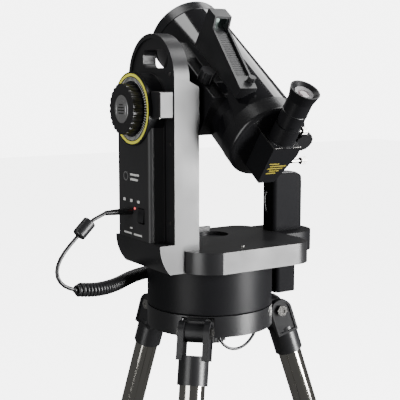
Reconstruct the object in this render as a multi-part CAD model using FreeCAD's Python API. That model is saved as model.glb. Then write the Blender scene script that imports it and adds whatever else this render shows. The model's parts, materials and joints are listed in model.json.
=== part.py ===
import FreeCAD, Part
import math
import os
from FreeCAD import Vector

# Small Maksutov telescope on a single-arm altazimuth mount, standing on a steel-tube tripod.
# X runs along the altitude axis (arm at -X), Y forward, Z up; built with the azimuth axis on X=Y=0 and
# the floor at Z=0, then shifted so that the origin is the bottom centre of the whole object's box.

# ---- driving dimensions, millimetres and degrees ----
HEAD_TOP = 640.0          # seam between the tripod head and the drum, above the floor
ALT_RISE = 258.0          # altitude axis above that seam
TUBE_R = 51.4             # optical tube, outer radius
TUBE_FRONT = 112.0        # tube's front end, forward of the altitude axis
TUBE_REAR = -90.0         # tube's rear end
TUBE_WALL = 1.6
TUBE_X = 14.0             # tube's axis, to the right of the azimuth axis
TUBE_RISE = 31.0          # tube's axis above the altitude axis
TILT = 36.0               # altitude of the tube at rest
DRUM_R = 83.0
DRUM_H = 58.0
DRUM_WALL = 3.0
PLATE_T = 27.0
ARM_T = 35.0              # arm's thickness below the shoulder
ARM_T_TOP = 21.0          # and above it
ARM_REAR = -64.0
ARM_FRONT = 49.0
ARM_TOP = 350.0           # arm's top above the seam
LEG_LEAN = 18.3
LEG_PIVOT_R = 97.0
LEG_PIVOT_DROP = 17.0     # leg pivots below the seam
LEG_TUBE_R = 15.9
LOWER_TUBE_R = 12.7
LEG_ANGLES = (226.0, 346.0, 106.0)
UPPER_TUBE_END = 395.0    # distance down the leg from its pivot
CORD_R = 2.5
COIL_R = 9.0
TETHER_R = 2.0

# ---- clearances ----
GAP = 0.4                 # between pieces that move past each other
SEAM_GAP = 0.6
RUN_FIT = 0.05            # radial, shaft in bore
WALL = 3.0

# ---- levels that follow ----
Z_DRUM = HEAD_TOP + SEAM_GAP
Z_PLATE = Z_DRUM + DRUM_H
Z_PLATE_TOP = Z_PLATE + PLATE_T
Z_ALT = HEAD_TOP + ALT_RISE
Z_ARM_TOP = HEAD_TOP + ARM_TOP

# ---- tripod head ----
HEAD_H = 27.0
HEAD_R = DRUM_R + 0.4
HUB_R = 36.0
SPINDLE_R = 12.0
SPINDLE_H = 42.0          # spindle's height above the seam
LUG_W = 24.0
LUG_R = 12.0
BOLT_R = 4.0
BOLT_HEAD_R = 7.5
BOLT_HEAD_H = 4.0
STUD_R = 5.0

# ---- mounting bolt under the head ----
KNOB_R = 22.0
KNOB_H = 20.0
KNOB_DROP = 6.0          # from the head's underside to the knob
KNOB_RIBS = 16
RIB_R = 1.8

# ---- azimuth drive ----
WHEEL_R = 45.0
WHEEL_T = 8.0
WHEEL_Z = 10.0            # wheel's underside above the seam
WHEEL_TEETH = 60
TOOTH_H = 1.2
GEARBOX_L = 44.0
GEARBOX_OUT = 74.0

WHEEL_GAP_TOP = HEAD_TOP + WHEEL_Z + WHEEL_T + 6

# ---- leg fitting, collar, foot ----
CHEEK_T = 7.5
CHEEK_R = 15.0
CHEEK_END = 34.0
SLEEVE_R = 19.0
SLEEVE_TOP = 26.0
SLEEVE_END = 64.0
TUBE_TOP = 30.0           # where the steel tube's hidden end sits in the sleeve
RIM_W = 3.2
RIM_DEPTH = 1.6
LEG_WALL = 1.2
COLLAR_R = 20.0
COLLAR_TOP = 372.0
COLLAR_END = 430.0
LOWER_TOP = 90.0
FOOT_BALL_R = 15.0
FOOT_FLAT = 2.0           # height cut off the foot's ball by its flat face
FOOT_SLEEVE = 26.0
LOCK_BOSS_R = 9.0
LOCK_BOSS_OUT = 9.0
LOCK_STEM_R = 3.0
LOCK_KNOB_R = 11.0
LOCK_KNOB_H = 13.0
LOCK_KNOB_LOBES = 6

# ---- base plate and handset holder ----
PLATE_LEFT = -78.0
PLATE_REAR = -98.0
PLATE_FRONT = 66.0
PLATE_RIGHT = 102.0
PLATE_SHOULDER = -45.0    # where the rounded shoulder meets the straight rear edge
CORNER_REAR = 30.0
CORNER_FRONT = 26.0
PLATE_SKIN = 4.0
WELL_R = 21.0
WELL_DEPTH = 5.0
WELL_X = 20.0
WELL_Y = 22.0
HOOP_X = 126.0
HOOP_R = 40.0
HOOP_T = 4.0
GRIP_PLAY = 0.8

# ---- handset ----
HAND_X = 126.0
HAND_Y = 6.0
HEAD_W = 52.0
HEAD_D = 28.0
GRIP_W = 36.0
GRIP_D = 24.0
HAND_TOP = 165.0          # above the seam
HAND_BOTTOM = -3.0
HAND_CORNER = 7.0
SHOULDER_R = 14.0
KEY_PROUD = 1.6
KEY_TRAVEL = 1.0
DISPLAY_W = 38.0
DISPLAY_H = 16.0
DISPLAY_T = 1.6
DISPLAY_DROP = 12.0       # below the handset's top
PAD_R = 13.0
PAD_DROP = 50.0
KEY_R = 5.0
KEY_SPREAD = 12.0
KEY_DROP = 69.0
KEY_DEEP = 3.0
HAND_BOOT_R = 4.5
HAND_BOOT_L = 6.0
HAND_BOOT_Z = 13.0

# ---- arm, panel and boss ----
ARM_LEFT = -93.0
FOOT_LEFT = -114.0
FOOT_CURVE_R = 54.0
FOOT_TOP = 95.0           # above the seam
SHOULDER_LOW = 285.0
SHOULDER_HIGH = 292.0
HANDLE_REAR = -45.0
HANDLE_FRONT = 15.0
HANDLE_LOW = 308.0
HANDLE_HIGH = 330.0
RECESS_D = 2.5
RECESS_RIM = 6.0
PANEL_LEFT = -113.0
PANEL_REAR = -38.0
PANEL_FRONT = 45.0
PANEL_TOP = 236.0
PANEL_WALL = 3.0
PANEL_CORNER = 5.0
BOSS_R = 44.0
BOSS_WALL = 8.0
BOSS_LEFT = -112.6
CAVITY_R = 24.0
ROCKER_Y = -17.0
ROCKER_Z = 126.0
ROCKER_W = 15.0
ROCKER_H = 19.0
ROCKER_TILT = 8.0
SOCKET_Y = 7.5
SOCKET_Z = 130.0
SOCKET_R = 4.2
SCREW_R = 2.6
SCREW_PLACES = ((-52.0, 120.0), (-52.0, 217.0), (-51.0, 300.0), (36.0, 300.0))
SCREW_H = 1.2

# ---- altitude shaft, dial and knob ----
SHAFT_R = 9.0
STUB_R = 5.0              # shaft's end inside the lock knob
ALT_WHEEL_R = 22.0
ALT_WHEEL_T = 6.0
DIAL_R = 45.4
DIAL_T = 3.6
GRIP_R = 30.0
GRIP_LOBES = 24
LOBE_R = 2.4
GRIP_T = 13.6
BADGE_R = 17.6
BADGE_D = 0.8

# ---- saddle and its knob ----
SADDLE_DISC_R = 33.0
SADDLE_BLOCK_X = 12.0     # thickness of the block outside the tube's side
SADDLE_HALF_L = 58.0
SADDLE_HALF_H = 29.0
SADDLE_KNOB_Y = -24.0
SADDLE_KNOB_R = 9.5
SADDLE_KNOB_H = 15.0
SADDLE_STEM_R = 3.0

# ---- optics ----
CELL_LIP = 0.8
FRONT_CELL_L = 16.0
LENS_R = 46.0
LENS_T = 8.0
LENS_SAG = 5.0
REAR_CELL_L = 24.0
REAR_CELL_BACK = -112.0
BAFFLE_R = 12.0
BAFFLE_WALL = 1.2
BAFFLE_L = 92.0
MIRROR_R = 47.0
MIRROR_T = 11.0
MIRROR_Y = -72.0
MIRROR_BORE = 14.0
FOCUS_X = 38.0            # focus knob, to the right of the tube's axis
FOCUS_UP = 12.0
FOCUS_R = 13.0
FOCUS_L = 16.0
FOCUS_STEM_R = 3.0
FOCUS_STEM_L = 32.0

# ---- flip mirror box ----
BOX_W = 41.0
BOX_L = 32.0
BOX_UP = 19.0
BOX_DOWN = 35.0
BOX_WALL = 3.0
BOX_CORNER_UP = 6.0       # where the right side starts to slant inwards
BOX_TOE = 4.0             # and how far right it ends at the bottom
PORT_R = 12.3            # eyepiece bore
COLLAR_UP = 22.0
PORT_OUT_R = 15.8
EYE_Y = -128.2            # eyepiece axis along the tube
FLIP_PLATE_L = 20.0
FLIP_PLATE_T = 2.0
FLIP_STEM_R = 2.0
FLIP_FORE = 8.5           # lever's shaft, ahead of the eyepiece axis
FLIP_UP = -8.5
FLIP_CRANK_X = 24.0
FLIP_CRANK_T = 2.6
FLIP_CRANK_L = 15.5
FLIP_CRANK_TURN = -171.0
FLIP_KNOB_REACH = 47.0
FLIP_KNOB_R = 4.6
FLIP_KNOB_L = 8.0
EYE_SCREW_R = 1.8
EYE_SCREW_BACK = 1.3      # tip clear of the eyepiece's barrel
EYE_SCREW_HEAD_R = 4.6
EYE_SCREW_HEAD_L = 7.0
EYE_SCREW_PROUD = 9.0

# ---- eyepiece ----
EYE_BARREL_R = 12.25
EYE_BARREL_L = 26.0
EYE_BODY_R = 15.2
EYE_BODY_L = 46.0
EYE_CUP_R = 18.5
EYE_CUP_L = 14.0
EYE_LENS_R = 9.0

# ---- finder: distances from the tube's axis ----
FINDER_X = -30.0
FINDER_W = 25.0
FINDER_T = 2.8
FINDER_REAR = -72.0
FINDER_FRONT = 40.0
FINDER_HOOD_L = 22.0
FINDER_BASE = 38.0
FINDER_LOW = 53.0         # top at the rear end
FINDER_SLOPE = 15.0
FINDER_HOOD_TOP = 92.0
FINDER_CHANNEL_D = 4.0
FINDER_PAD_L = 18.0       # solid length behind the channel
WINDOW_T = 1.6
WINDOW_LEAN = 12.0
FINDER_KNOB_R = 5.0
FINDER_KNOB_L = 6.0

# ---- cords: points chosen by hand, heights above the seam ----
PLUG_L = 37.0
PLUG_R = 4.6
BEAD_R = 8.5
BEAD_L = 24.0
LEAD_POINTS = ((-150.0, 7.5, 130.0), (-168.0, 7.0, 125.0), (-192.0, 5.0, 102.5), (-209.0, 2.0, 88.0),
               (-220.0, -1.0, 73.0), (-221.5, -3.0, 58.5), (-212.5, -4.0, 47.0), (-200.0, -4.0, 42.0))
COIL_POINTS = ((-200.0, -4.0, 42.0), (-176.0, 1.0, 37.0), (-150.0, 12.0, 34.0), (-122.0, 32.0, 32.0),
               (-94.0, 57.0, 31.0), (-62.0, 79.0, 30.0), (-25.0, 95.0, 28.0), (15.0, 99.0, 26.0),
               (53.0, 87.0, 24.0), (82.0, 66.0, 21.0))
TAIL_POINTS = ((82.0, 66.0, 21.0), (99.0, 57.5, 18.2), (116.0, 46.5, 15.0), (125.0, 36.0, 13.5),
               (126.0, 24.0, 13.0))
TETHER_POINTS = ((-8.0, -32.0, -27.0), (-8.0, -33.0, -36.0), (-6.0, -34.5, -46.0), (0.0, -37.0, -54.0),
                 (10.0, -38.5, -59.0), (23.0, -37.5, -60.0), (37.0, -34.0, -57.0), (51.0, -28.0, -50.5),
                 (63.0, -21.0, -42.0), (71.0, -16.0, -34.0), (74.0, -14.0, -27.0))
BEND_SHARE = 0.45         # of the shorter run beside a bend, taken up by its arc

X_AXIS = Vector(1, 0, 0)
Y_AXIS = Vector(0, 1, 0)
Z_AXIS = Vector(0, 0, 1)
ORIGIN = Vector(0, 0, 0)


# ---- small shape helpers ----
def block(x0, x1, y0, y1, z0, z1):
    return Part.makeBox(x1 - x0, y1 - y0, z1 - z0, Vector(x0, y0, z0))


def rod(radius, start, end):
    start = Vector(*start)
    line = Vector(*end) - start
    return Part.makeCylinder(radius, line.Length, start, line)


def pipe(outer, inner, start, end):
    return rod(outer, start, end).cut(rod(inner, start, end))


def fuse(first, *others):
    return first.multiFuse(list(others)).removeSplitter()


def prism(points, shift):
    wire = Part.makePolygon([Vector(*p) for p in points] + [Vector(*points[0])])
    return Part.Face(wire).extrude(Vector(*shift))


def edges_along(shape, axis, inside=None):
    """Straight edges parallel to the axis, limited to those whose middle lies in the box."""
    found = []
    for edge in shape.Edges:
        if not isinstance(edge.Curve, Part.Line):
            continue
        run = edge.Vertexes[1].Point - edge.Vertexes[0].Point
        if abs(abs(run.normalize().dot(axis)) - 1) > 1e-6:
            continue
        if inside is None or inside.isInside(edge.CenterOfMass):
            found.append(edge)
    return found


def rounded_block(x0, x1, y0, y1, z0, z1, radius, axis):
    solid = block(x0, x1, y0, y1, z0, z1)
    return solid.makeFillet(radius, edges_along(solid, axis))


def polar(radius, angle, z=0.0):
    turn = math.radians(angle)
    return Vector(radius * math.cos(turn), radius * math.sin(turn), z)


def moved(shape, x=0.0, y=0.0, z=0.0):
    copy = shape.copy()
    copy.translate(Vector(x, y, z))
    return copy


def turned(shape, centre, axis, angle):
    copy = shape.copy()
    copy.rotate(Vector(*centre), axis, angle)
    return copy


def ribbed_knob(radius, height, ribs, rib_r):
    """A round knob on +Z with half-round ribs, its base at Z=0."""
    body = Part.makeCylinder(radius, height)
    bars = [Part.makeCylinder(rib_r, height, polar(radius, 360.0 * i / ribs)) for i in range(ribs)]
    return fuse(body, *bars)


def grooved_knob(radius, height, grooves, groove_r):
    body = Part.makeCylinder(radius, height)
    for i in range(grooves):
        centre = polar(radius + 0.4 * groove_r, 360.0 * i / grooves)
        body = body.cut(Part.makeCylinder(groove_r, height, centre))
    return body


# ---- cord tubes: straight runs joined by tangent arcs ----
def bend(before, corner, after):
    """Arc's start, middle and end at a corner, and its radius."""
    back = before - corner
    ahead = after - corner
    reach = BEND_SHARE * min(back.Length, ahead.Length)
    back.normalize()
    ahead.normalize()
    half_turn = (math.pi - back.getAngle(ahead)) / 2
    radius = reach / math.tan(half_turn)
    inward = (back + ahead).normalize()
    middle = corner + inward * (radius / math.cos(half_turn) - radius)
    return corner + back * reach, middle, corner + ahead * reach, radius


def cord_tube(name, points, radius):
    points = [Vector(x, y, z + HEAD_TOP) for x, y, z in points]
    edges = []
    radii = []
    here = points[0]
    for before, corner, after in zip(points, points[1:], points[2:]):
        start, middle, end, arc_r = bend(before, corner, after)
        edges.append(Part.LineSegment(here, start).toShape())
        edges.append(Part.Arc(start, middle, end).toShape())
        radii.append(round(arc_r, 1))
        here = end
    edges.append(Part.LineSegment(here, points[-1]).toShape())
    path = Part.Wire(edges)
    section = Part.Wire(Part.makeCircle(radius, points[0], points[1] - points[0]))
    tube = path.makePipeShell([section], True, False)
    share = tube.Volume / (math.pi * radius * radius * path.Length)
    print(name, "length", round(path.Length, 1), "radii", radii, "volume share", round(share, 4))
    return tube


# ---- tripod head ----
def tripod_head():
    z0 = HEAD_TOP - HEAD_H
    shell = Part.makeCylinder(HEAD_R, HEAD_H, Vector(0, 0, z0))
    shell = shell.cut(Part.makeCylinder(HEAD_R - 6, HEAD_H - 6, Vector(0, 0, z0)))
    hub = Part.makeCylinder(HUB_R, HEAD_H, Vector(0, 0, z0))
    spindle = Part.makeCylinder(SPINDLE_R, SPINDLE_H, Vector(0, 0, HEAD_TOP))
    solid = fuse(shell, hub, spindle)
    half = LUG_W / 2
    for angle in LEG_ANGLES:
        lug = block(HUB_R - 4, LEG_PIVOT_R, -half, half, z0, HEAD_TOP - 2)
        eye = rod(LUG_R, (LEG_PIVOT_R, -half, HEAD_TOP - LEG_PIVOT_DROP),
                  (LEG_PIVOT_R, half, HEAD_TOP - LEG_PIVOT_DROP))
        pocket = block(HEAD_R - 12, LEG_PIVOT_R + CHEEK_R + GAP, -half - CHEEK_T - 1.5, half + CHEEK_T + 1.5,
                       z0 - 1, HEAD_TOP - 1.5)
        solid = solid.cut(turned(pocket, (0, 0, 0), Z_AXIS, angle))
        trim = lug.common(rod(LEG_PIVOT_R + LUG_R, (0, 0, z0), (0, 0, HEAD_TOP)))
        solid = fuse(solid, turned(trim, (0, 0, 0), Z_AXIS, angle), turned(eye, (0, 0, 0), Z_AXIS, angle))
        bore = rod(BOLT_R, (LEG_PIVOT_R, -half - 1, HEAD_TOP - LEG_PIVOT_DROP),
                   (LEG_PIVOT_R, half + 1, HEAD_TOP - LEG_PIVOT_DROP))
        solid = solid.cut(turned(bore, (0, 0, 0), Z_AXIS, angle))
    stud_bore = Part.makeCylinder(STUD_R + RUN_FIT, HEAD_H + SPINDLE_H, Vector(0, 0, z0))
    return solid.cut(stud_bore).removeSplitter()


def leg_pivot_bolts():
    reach = LUG_W / 2 + GAP + CHEEK_T - RIM_DEPTH + GAP
    bolts = []
    for angle in LEG_ANGLES:
        z = HEAD_TOP - LEG_PIVOT_DROP
        shank = rod(BOLT_R, (LEG_PIVOT_R, -reach, z), (LEG_PIVOT_R, reach, z))
        heads = []
        for side in (-1, 1):
            hexagon = Part.makePolygon([polar(BOLT_HEAD_R, 60 * i) for i in range(7)])
            head = Part.Face(hexagon).extrude(Vector(0, 0, BOLT_HEAD_H))
            head = head.cut(Part.makeCylinder(BOLT_HEAD_R / 2, BOLT_HEAD_H, Vector(0, 0, BOLT_HEAD_H - 1)))
            head = turned(head, (0, 0, 0), X_AXIS, -90 * side)
            heads.append(moved(head, LEG_PIVOT_R, side * reach, z))
        bolts.append(turned(fuse(shank, *heads), (0, 0, 0), Z_AXIS, angle))
    return Part.makeCompound(bolts)


def azimuth_gear():
    body = Part.makeCylinder(WHEEL_R, WHEEL_T)
    tooth = block(WHEEL_R - 1, WHEEL_R + TOOTH_H, -0.9, 0.9, 0, WHEEL_T)
    teeth = [turned(tooth, (0, 0, 0), Z_AXIS, 360.0 * i / WHEEL_TEETH) for i in range(WHEEL_TEETH)]
    wheel = fuse(body, *teeth).cut(Part.makeCylinder(SPINDLE_R, WHEEL_T))
    return moved(wheel, z=HEAD_TOP + WHEEL_Z)


def mount_bolt_knob():
    top = HEAD_TOP - HEAD_H - KNOB_DROP
    knob = moved(ribbed_knob(KNOB_R - RIB_R, KNOB_H, KNOB_RIBS, RIB_R), z=top - KNOB_H)
    stem = rod(STUD_R, (0, 0, top), (0, 0, HEAD_TOP + SPINDLE_H - 4))
    collar = rod(STUD_R + 4, (0, 0, top), (0, 0, top + KNOB_DROP - GAP))
    return fuse(knob, stem, collar)


def tether_cable():
    return cord_tube("tether_cable", TETHER_POINTS, TETHER_R)


# ---- one leg, built hanging straight down from its pivot, then leaned and turned ----
def place_leg(shape, angle):
    leaned = turned(shape, (0, 0, 0), Y_AXIS, -LEG_LEAN)
    out = moved(leaned, LEG_PIVOT_R, 0, HEAD_TOP - LEG_PIVOT_DROP)
    return turned(out, (0, 0, 0), Z_AXIS, angle)


def leg_length():
    """From the pivot down the leg to the centre of the foot's ball."""
    drop = HEAD_TOP - LEG_PIVOT_DROP - (FOOT_BALL_R - FOOT_FLAT)
    return drop / math.cos(math.radians(LEG_LEAN))


def leg_fitting():
    inner = LUG_W / 2 + GAP
    outer = inner + CHEEK_T
    solid = Part.makeCylinder(SLEEVE_R, SLEEVE_END - SLEEVE_TOP, Vector(0, 0, -SLEEVE_END))
    for side in (-1, 1):
        y0, y1 = sorted((side * inner, side * outer))
        cheek = fuse(rod(CHEEK_R, (0, y0, 0), (0, y1, 0)), block(-CHEEK_R, CHEEK_R, y0, y1, -CHEEK_END, 0))
        face = side * outer
        depth = (face - side * RIM_DEPTH, face)
        pocket = fuse(rod(CHEEK_R - RIM_W, (0, depth[0], 0), (0, depth[1], 0)),
                      block(-CHEEK_R + RIM_W, CHEEK_R - RIM_W, min(depth), max(depth),
                            -CHEEK_END + RIM_W, 0))
        solid = fuse(solid, cheek.cut(pocket))
    solid = solid.cut(block(-CHEEK_R - 9, CHEEK_R + 9, -inner, inner, -SLEEVE_TOP - 2, CHEEK_R + 1))
    solid = solid.cut(rod(BOLT_R + RUN_FIT, (0, -outer - 1, 0), (0, outer + 1, 0)))
    return solid.cut(rod(LEG_TUBE_R, (0, 0, -SLEEVE_END), (0, 0, -TUBE_TOP))).removeSplitter()


def upper_tube():
    return pipe(LEG_TUBE_R, LEG_TUBE_R - LEG_WALL, (0, 0, -UPPER_TUBE_END), (0, 0, -TUBE_TOP))


def lock_collar():
    body = rod(COLLAR_R, (0, 0, -COLLAR_END), (0, 0, -COLLAR_TOP))
    body = body.makeFillet(2.5, [e for e in body.Edges if isinstance(e.Curve, Part.Circle)])
    boss = rod(LOCK_BOSS_R, (0, 0, -lock_s()), (COLLAR_R + LOCK_BOSS_OUT, 0, -lock_s()))
    solid = fuse(body, boss)
    solid = solid.cut(rod(LEG_TUBE_R, (0, 0, -UPPER_TUBE_END), (0, 0, -COLLAR_TOP)))
    solid = solid.cut(rod(LOWER_TUBE_R + GAP, (0, 0, -COLLAR_END), (0, 0, -UPPER_TUBE_END)))
    stem = rod(LOCK_STEM_R + RUN_FIT, (LOWER_TUBE_R, 0, -lock_s()),
               (COLLAR_R + LOCK_BOSS_OUT + 1, 0, -lock_s()))
    return solid.cut(stem).removeSplitter()


def lock_s():
    return COLLAR_END - LOCK_BOSS_R - 4


def lock_knob():
    face = COLLAR_R + LOCK_BOSS_OUT + GAP
    knob = grooved_knob(LOCK_KNOB_R, LOCK_KNOB_H, LOCK_KNOB_LOBES, 3.5)
    knob = moved(turned(knob, (0, 0, 0), Y_AXIS, 90), x=face)
    stem = rod(LOCK_STEM_R, (LOWER_TUBE_R + GAP, 0, 0), (face, 0, 0))
    return moved(fuse(knob, stem), z=-lock_s())


def lower_tube():
    end = leg_length() - 8
    return pipe(LOWER_TUBE_R, LOWER_TUBE_R - LEG_WALL, (0, 0, -end), (0, 0, -LOWER_TOP))


def foot():
    """Built in place: its flat face lies on the floor once the leg leans."""
    centre = leg_length()
    ball = Part.makeSphere(FOOT_BALL_R, Vector(0, 0, -centre))
    sleeve = rod(FOOT_BALL_R, (0, 0, -centre), (0, 0, -centre + FOOT_SLEEVE))
    plug = rod(LOWER_TUBE_R, (0, 0, -centre + 8), (0, 0, -centre + FOOT_SLEEVE))
    return fuse(ball, sleeve).cut(plug)


def placed_foot(angle):
    return place_leg(foot(), angle).cut(block(-500, 500, -500, 500, -FOOT_BALL_R, 0))


# ---- drum and azimuth drive ----
def drum_housing():
    outer = Part.makeCylinder(DRUM_R, DRUM_H, Vector(0, 0, Z_DRUM))
    rims = [e for e in outer.Edges if isinstance(e.Curve, Part.Circle)]
    outer = outer.makeFillet(1.5, rims)
    hollow = Part.makeCylinder(DRUM_R - DRUM_WALL, DRUM_H - DRUM_WALL, Vector(0, 0, Z_DRUM))
    bearing = Part.makeCylinder(SPINDLE_R + 6, Z_PLATE - WHEEL_GAP_TOP, Vector(0, 0, WHEEL_GAP_TOP))
    bore = rod(SPINDLE_R + RUN_FIT, (0, 0, Z_DRUM), (0, 0, HEAD_TOP + SPINDLE_H + GAP))
    return fuse(outer.cut(hollow), bearing).cut(bore).removeSplitter()


def azimuth_gearbox():
    """Closed motor and worm unit hung from the drum's roof, beside the worm wheel."""
    inner = WHEEL_R + TOOTH_H + GAP
    half = GEARBOX_L / 2
    low = HEAD_TOP + WHEEL_Z - 3
    return rounded_block(inner, GEARBOX_OUT, -half, half, low, Z_PLATE - DRUM_WALL, 4, Z_AXIS)


# ---- base plate with the handset's hoop ----
def plate_outline():
    """Closed outline at Z_PLATE: the shoulder beside the arm, the rear edge, and the two right corners."""
    z = Z_PLATE
    arm_x = ARM_LEFT + ARM_T
    start = Vector(PLATE_LEFT, ARM_REAR, z)
    shoulder = Vector(PLATE_SHOULDER, PLATE_REAR, z)
    mid = Vector(PLATE_LEFT + 11, ARM_REAR - 21, z)
    rear_turn = Vector(PLATE_RIGHT - CORNER_REAR, PLATE_REAR, z)
    rear_end = Vector(PLATE_RIGHT, PLATE_REAR + CORNER_REAR, z)
    front_turn = Vector(PLATE_RIGHT, PLATE_FRONT - CORNER_FRONT, z)
    front_end = Vector(PLATE_RIGHT - CORNER_FRONT, PLATE_FRONT, z)
    cut = 1 - math.sqrt(0.5)
    rear_mid = Vector(PLATE_RIGHT - CORNER_REAR * cut, PLATE_REAR + CORNER_REAR * cut, z)
    front_mid = Vector(PLATE_RIGHT - CORNER_FRONT * cut, PLATE_FRONT - CORNER_FRONT * cut, z)
    corners = [front_end, Vector(arm_x, PLATE_FRONT, z), Vector(arm_x, ARM_REAR, z), start]
    edges = [Part.Arc(start, mid, shoulder).toShape(),
             Part.LineSegment(shoulder, rear_turn).toShape(),
             Part.Arc(rear_turn, rear_mid, rear_end).toShape(),
             Part.LineSegment(rear_end, front_turn).toShape(),
             Part.Arc(front_turn, front_mid, front_end).toShape()]
    edges += [Part.LineSegment(a, b).toShape() for a, b in zip(corners, corners[1:])]
    return Part.Face(Part.Wire(edges))


def base_plate():
    solid = plate_outline().extrude(Vector(0, 0, PLATE_T))
    z0, z1 = Z_PLATE, Z_PLATE_TOP
    hollow = Part.makeCylinder(DRUM_R - 12, PLATE_T - PLATE_SKIN - WELL_DEPTH, Vector(0, 0, z0))
    inside = block(ARM_LEFT + ARM_T + WALL, DRUM_R, -DRUM_R, PLATE_FRONT - WALL, z0, z1)
    well = Part.makeCylinder(WELL_R, WELL_DEPTH, Vector(WELL_X, WELL_Y, z1 - WELL_DEPTH))
    ridge = rounded_block(-40, 40, PLATE_FRONT - 9, PLATE_FRONT - 3, z1 - 1, z1 + 4, 2.4, Z_AXIS)
    return fuse(solid.cut(hollow.common(inside)).cut(well), ridge)


def hoop_solid(radius, z0, z1):
    half = block(PLATE_RIGHT, HOOP_X, HAND_Y - radius, HAND_Y + radius, z0, z1)
    return fuse(rod(radius, (HOOP_X, HAND_Y, z0), (HOOP_X, HAND_Y, z1)), half)


def handset_holder():
    """A bucket without a floor: a round wall and a shelf that the handset's head rests on."""
    solid = hoop_solid(HOOP_R, Z_PLATE, Z_PLATE_TOP)
    solid = solid.cut(hoop_solid(HOOP_R - HOOP_T, Z_PLATE, Z_PLATE_TOP - HOOP_T))
    half_w = GRIP_W / 2 + GRIP_PLAY
    half_d = GRIP_D / 2 + GRIP_PLAY
    slot = rounded_block(HAND_X - half_w, HAND_X + half_w, HAND_Y - half_d, HAND_Y + half_d,
                         Z_PLATE, Z_PLATE_TOP, HAND_CORNER, Z_AXIS)
    right_side = block(PLATE_RIGHT, HOOP_X + HOOP_R, HAND_Y - HOOP_R, HAND_Y + HOOP_R, Z_PLATE, Z_PLATE_TOP)
    return solid.cut(slot).common(right_side)


# ---- arm ----
def arm_side_view(x0, x1, inset=0.0):
    """The arm's arched outline as a solid between two X planes, drawn in by the inset."""
    rear = ARM_REAR + inset
    front = ARM_FRONT - inset
    radius = (front - rear) / 2
    centre = (front + rear) / 2
    z_centre = Z_ARM_TOP - inset - radius
    arch = rod(radius, (x0, centre, z_centre), (x1, centre, z_centre))
    return fuse(arch, block(x0, x1, rear, front, Z_PLATE + inset, z_centre))


def arm_foot():
    """The rounded foot that bulges outwards at the arm's base."""
    z1 = HEAD_TOP + FOOT_TOP
    solid = block(FOOT_LEFT, ARM_LEFT, ARM_REAR, ARM_FRONT, Z_PLATE, z1)
    curve_x = FOOT_LEFT + FOOT_CURVE_R
    return solid.common(rod(FOOT_CURVE_R, (curve_x, ARM_REAR, z1), (curve_x, ARM_FRONT, z1)))


def arm_frame():
    right = ARM_LEFT + ARM_T
    top_right = ARM_LEFT + ARM_T_TOP
    z_low, z_high = HEAD_TOP + SHOULDER_LOW, HEAD_TOP + SHOULDER_HIGH
    section = prism(((ARM_LEFT, ARM_REAR, Z_PLATE), (right, ARM_REAR, Z_PLATE), (right, ARM_REAR, z_low),
                     (top_right, ARM_REAR, z_high), (top_right, ARM_REAR, Z_ARM_TOP),
                     (ARM_LEFT, ARM_REAR, Z_ARM_TOP)), (0, ARM_FRONT - ARM_REAR, 0))
    solid = section.common(arm_side_view(ARM_LEFT, right))
    handle = rounded_block(ARM_LEFT, top_right, HANDLE_REAR, HANDLE_FRONT,
                           HEAD_TOP + HANDLE_LOW, HEAD_TOP + HANDLE_HIGH, 7, X_AXIS)
    recess = arm_side_view(ARM_LEFT, ARM_LEFT + RECESS_D, RECESS_RIM)
    recess = recess.cut(block(ARM_LEFT, ARM_LEFT + RECESS_D, PANEL_REAR - 2, ARM_FRONT,
                              Z_PLATE, HEAD_TOP + PANEL_TOP + 2))
    recess = recess.cut(block(ARM_LEFT, ARM_LEFT + RECESS_D, ARM_REAR, ARM_FRONT,
                              Z_PLATE, HEAD_TOP + FOOT_TOP))
    recess = recess.cut(rod(BOSS_R, (ARM_LEFT, 0, Z_ALT), (ARM_LEFT + RECESS_D, 0, Z_ALT)))
    solid = solid.cut(handle).cut(recess)
    cavity = block(ARM_LEFT, right - WALL, PANEL_REAR + 6, PANEL_FRONT - 6,
                   HEAD_TOP + FOOT_TOP + 6, HEAD_TOP + PANEL_TOP - 10)
    gear_room = rod(CAVITY_R, (ARM_LEFT, 0, Z_ALT), (right - WALL, 0, Z_ALT))
    solid = solid.cut(cavity).cut(gear_room)
    solid = solid.cut(rod(SHAFT_R + RUN_FIT, (ARM_LEFT, 0, Z_ALT), (right, 0, Z_ALT)))
    return fuse(solid, arm_foot())


def control_panel():
    z0 = HEAD_TOP + FOOT_TOP
    z1 = HEAD_TOP + PANEL_TOP
    solid = block(PANEL_LEFT, ARM_LEFT, PANEL_REAR, PANEL_FRONT, z0, z1)
    rims = [e for e in edges_along(solid, Z_AXIS) if e.CenterOfMass.x < PANEL_LEFT + 1]
    solid = solid.makeFillet(PANEL_CORNER, rims)
    hollow = block(PANEL_LEFT + PANEL_WALL, ARM_LEFT, PANEL_REAR + PANEL_WALL, PANEL_FRONT - PANEL_WALL,
                   z0 + PANEL_WALL, z1)
    solid = solid.cut(hollow)
    solid = solid.cut(rod(BOSS_R, (PANEL_LEFT - 1, 0, Z_ALT), (ARM_LEFT, 0, Z_ALT)))
    z = HEAD_TOP + ROCKER_Z
    opening = block(PANEL_LEFT, PANEL_LEFT + PANEL_WALL, ROCKER_Y - ROCKER_W / 2 - GAP,
                    ROCKER_Y + ROCKER_W / 2 + GAP, z - ROCKER_H / 2 - GAP, z + ROCKER_H / 2 + GAP)
    solid = solid.cut(opening)
    z_socket = HEAD_TOP + SOCKET_Z
    socket = rod(SOCKET_R, (PANEL_LEFT, SOCKET_Y, z_socket), (PANEL_LEFT + PANEL_WALL, SOCKET_Y, z_socket))
    return solid.cut(socket).removeSplitter()


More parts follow.
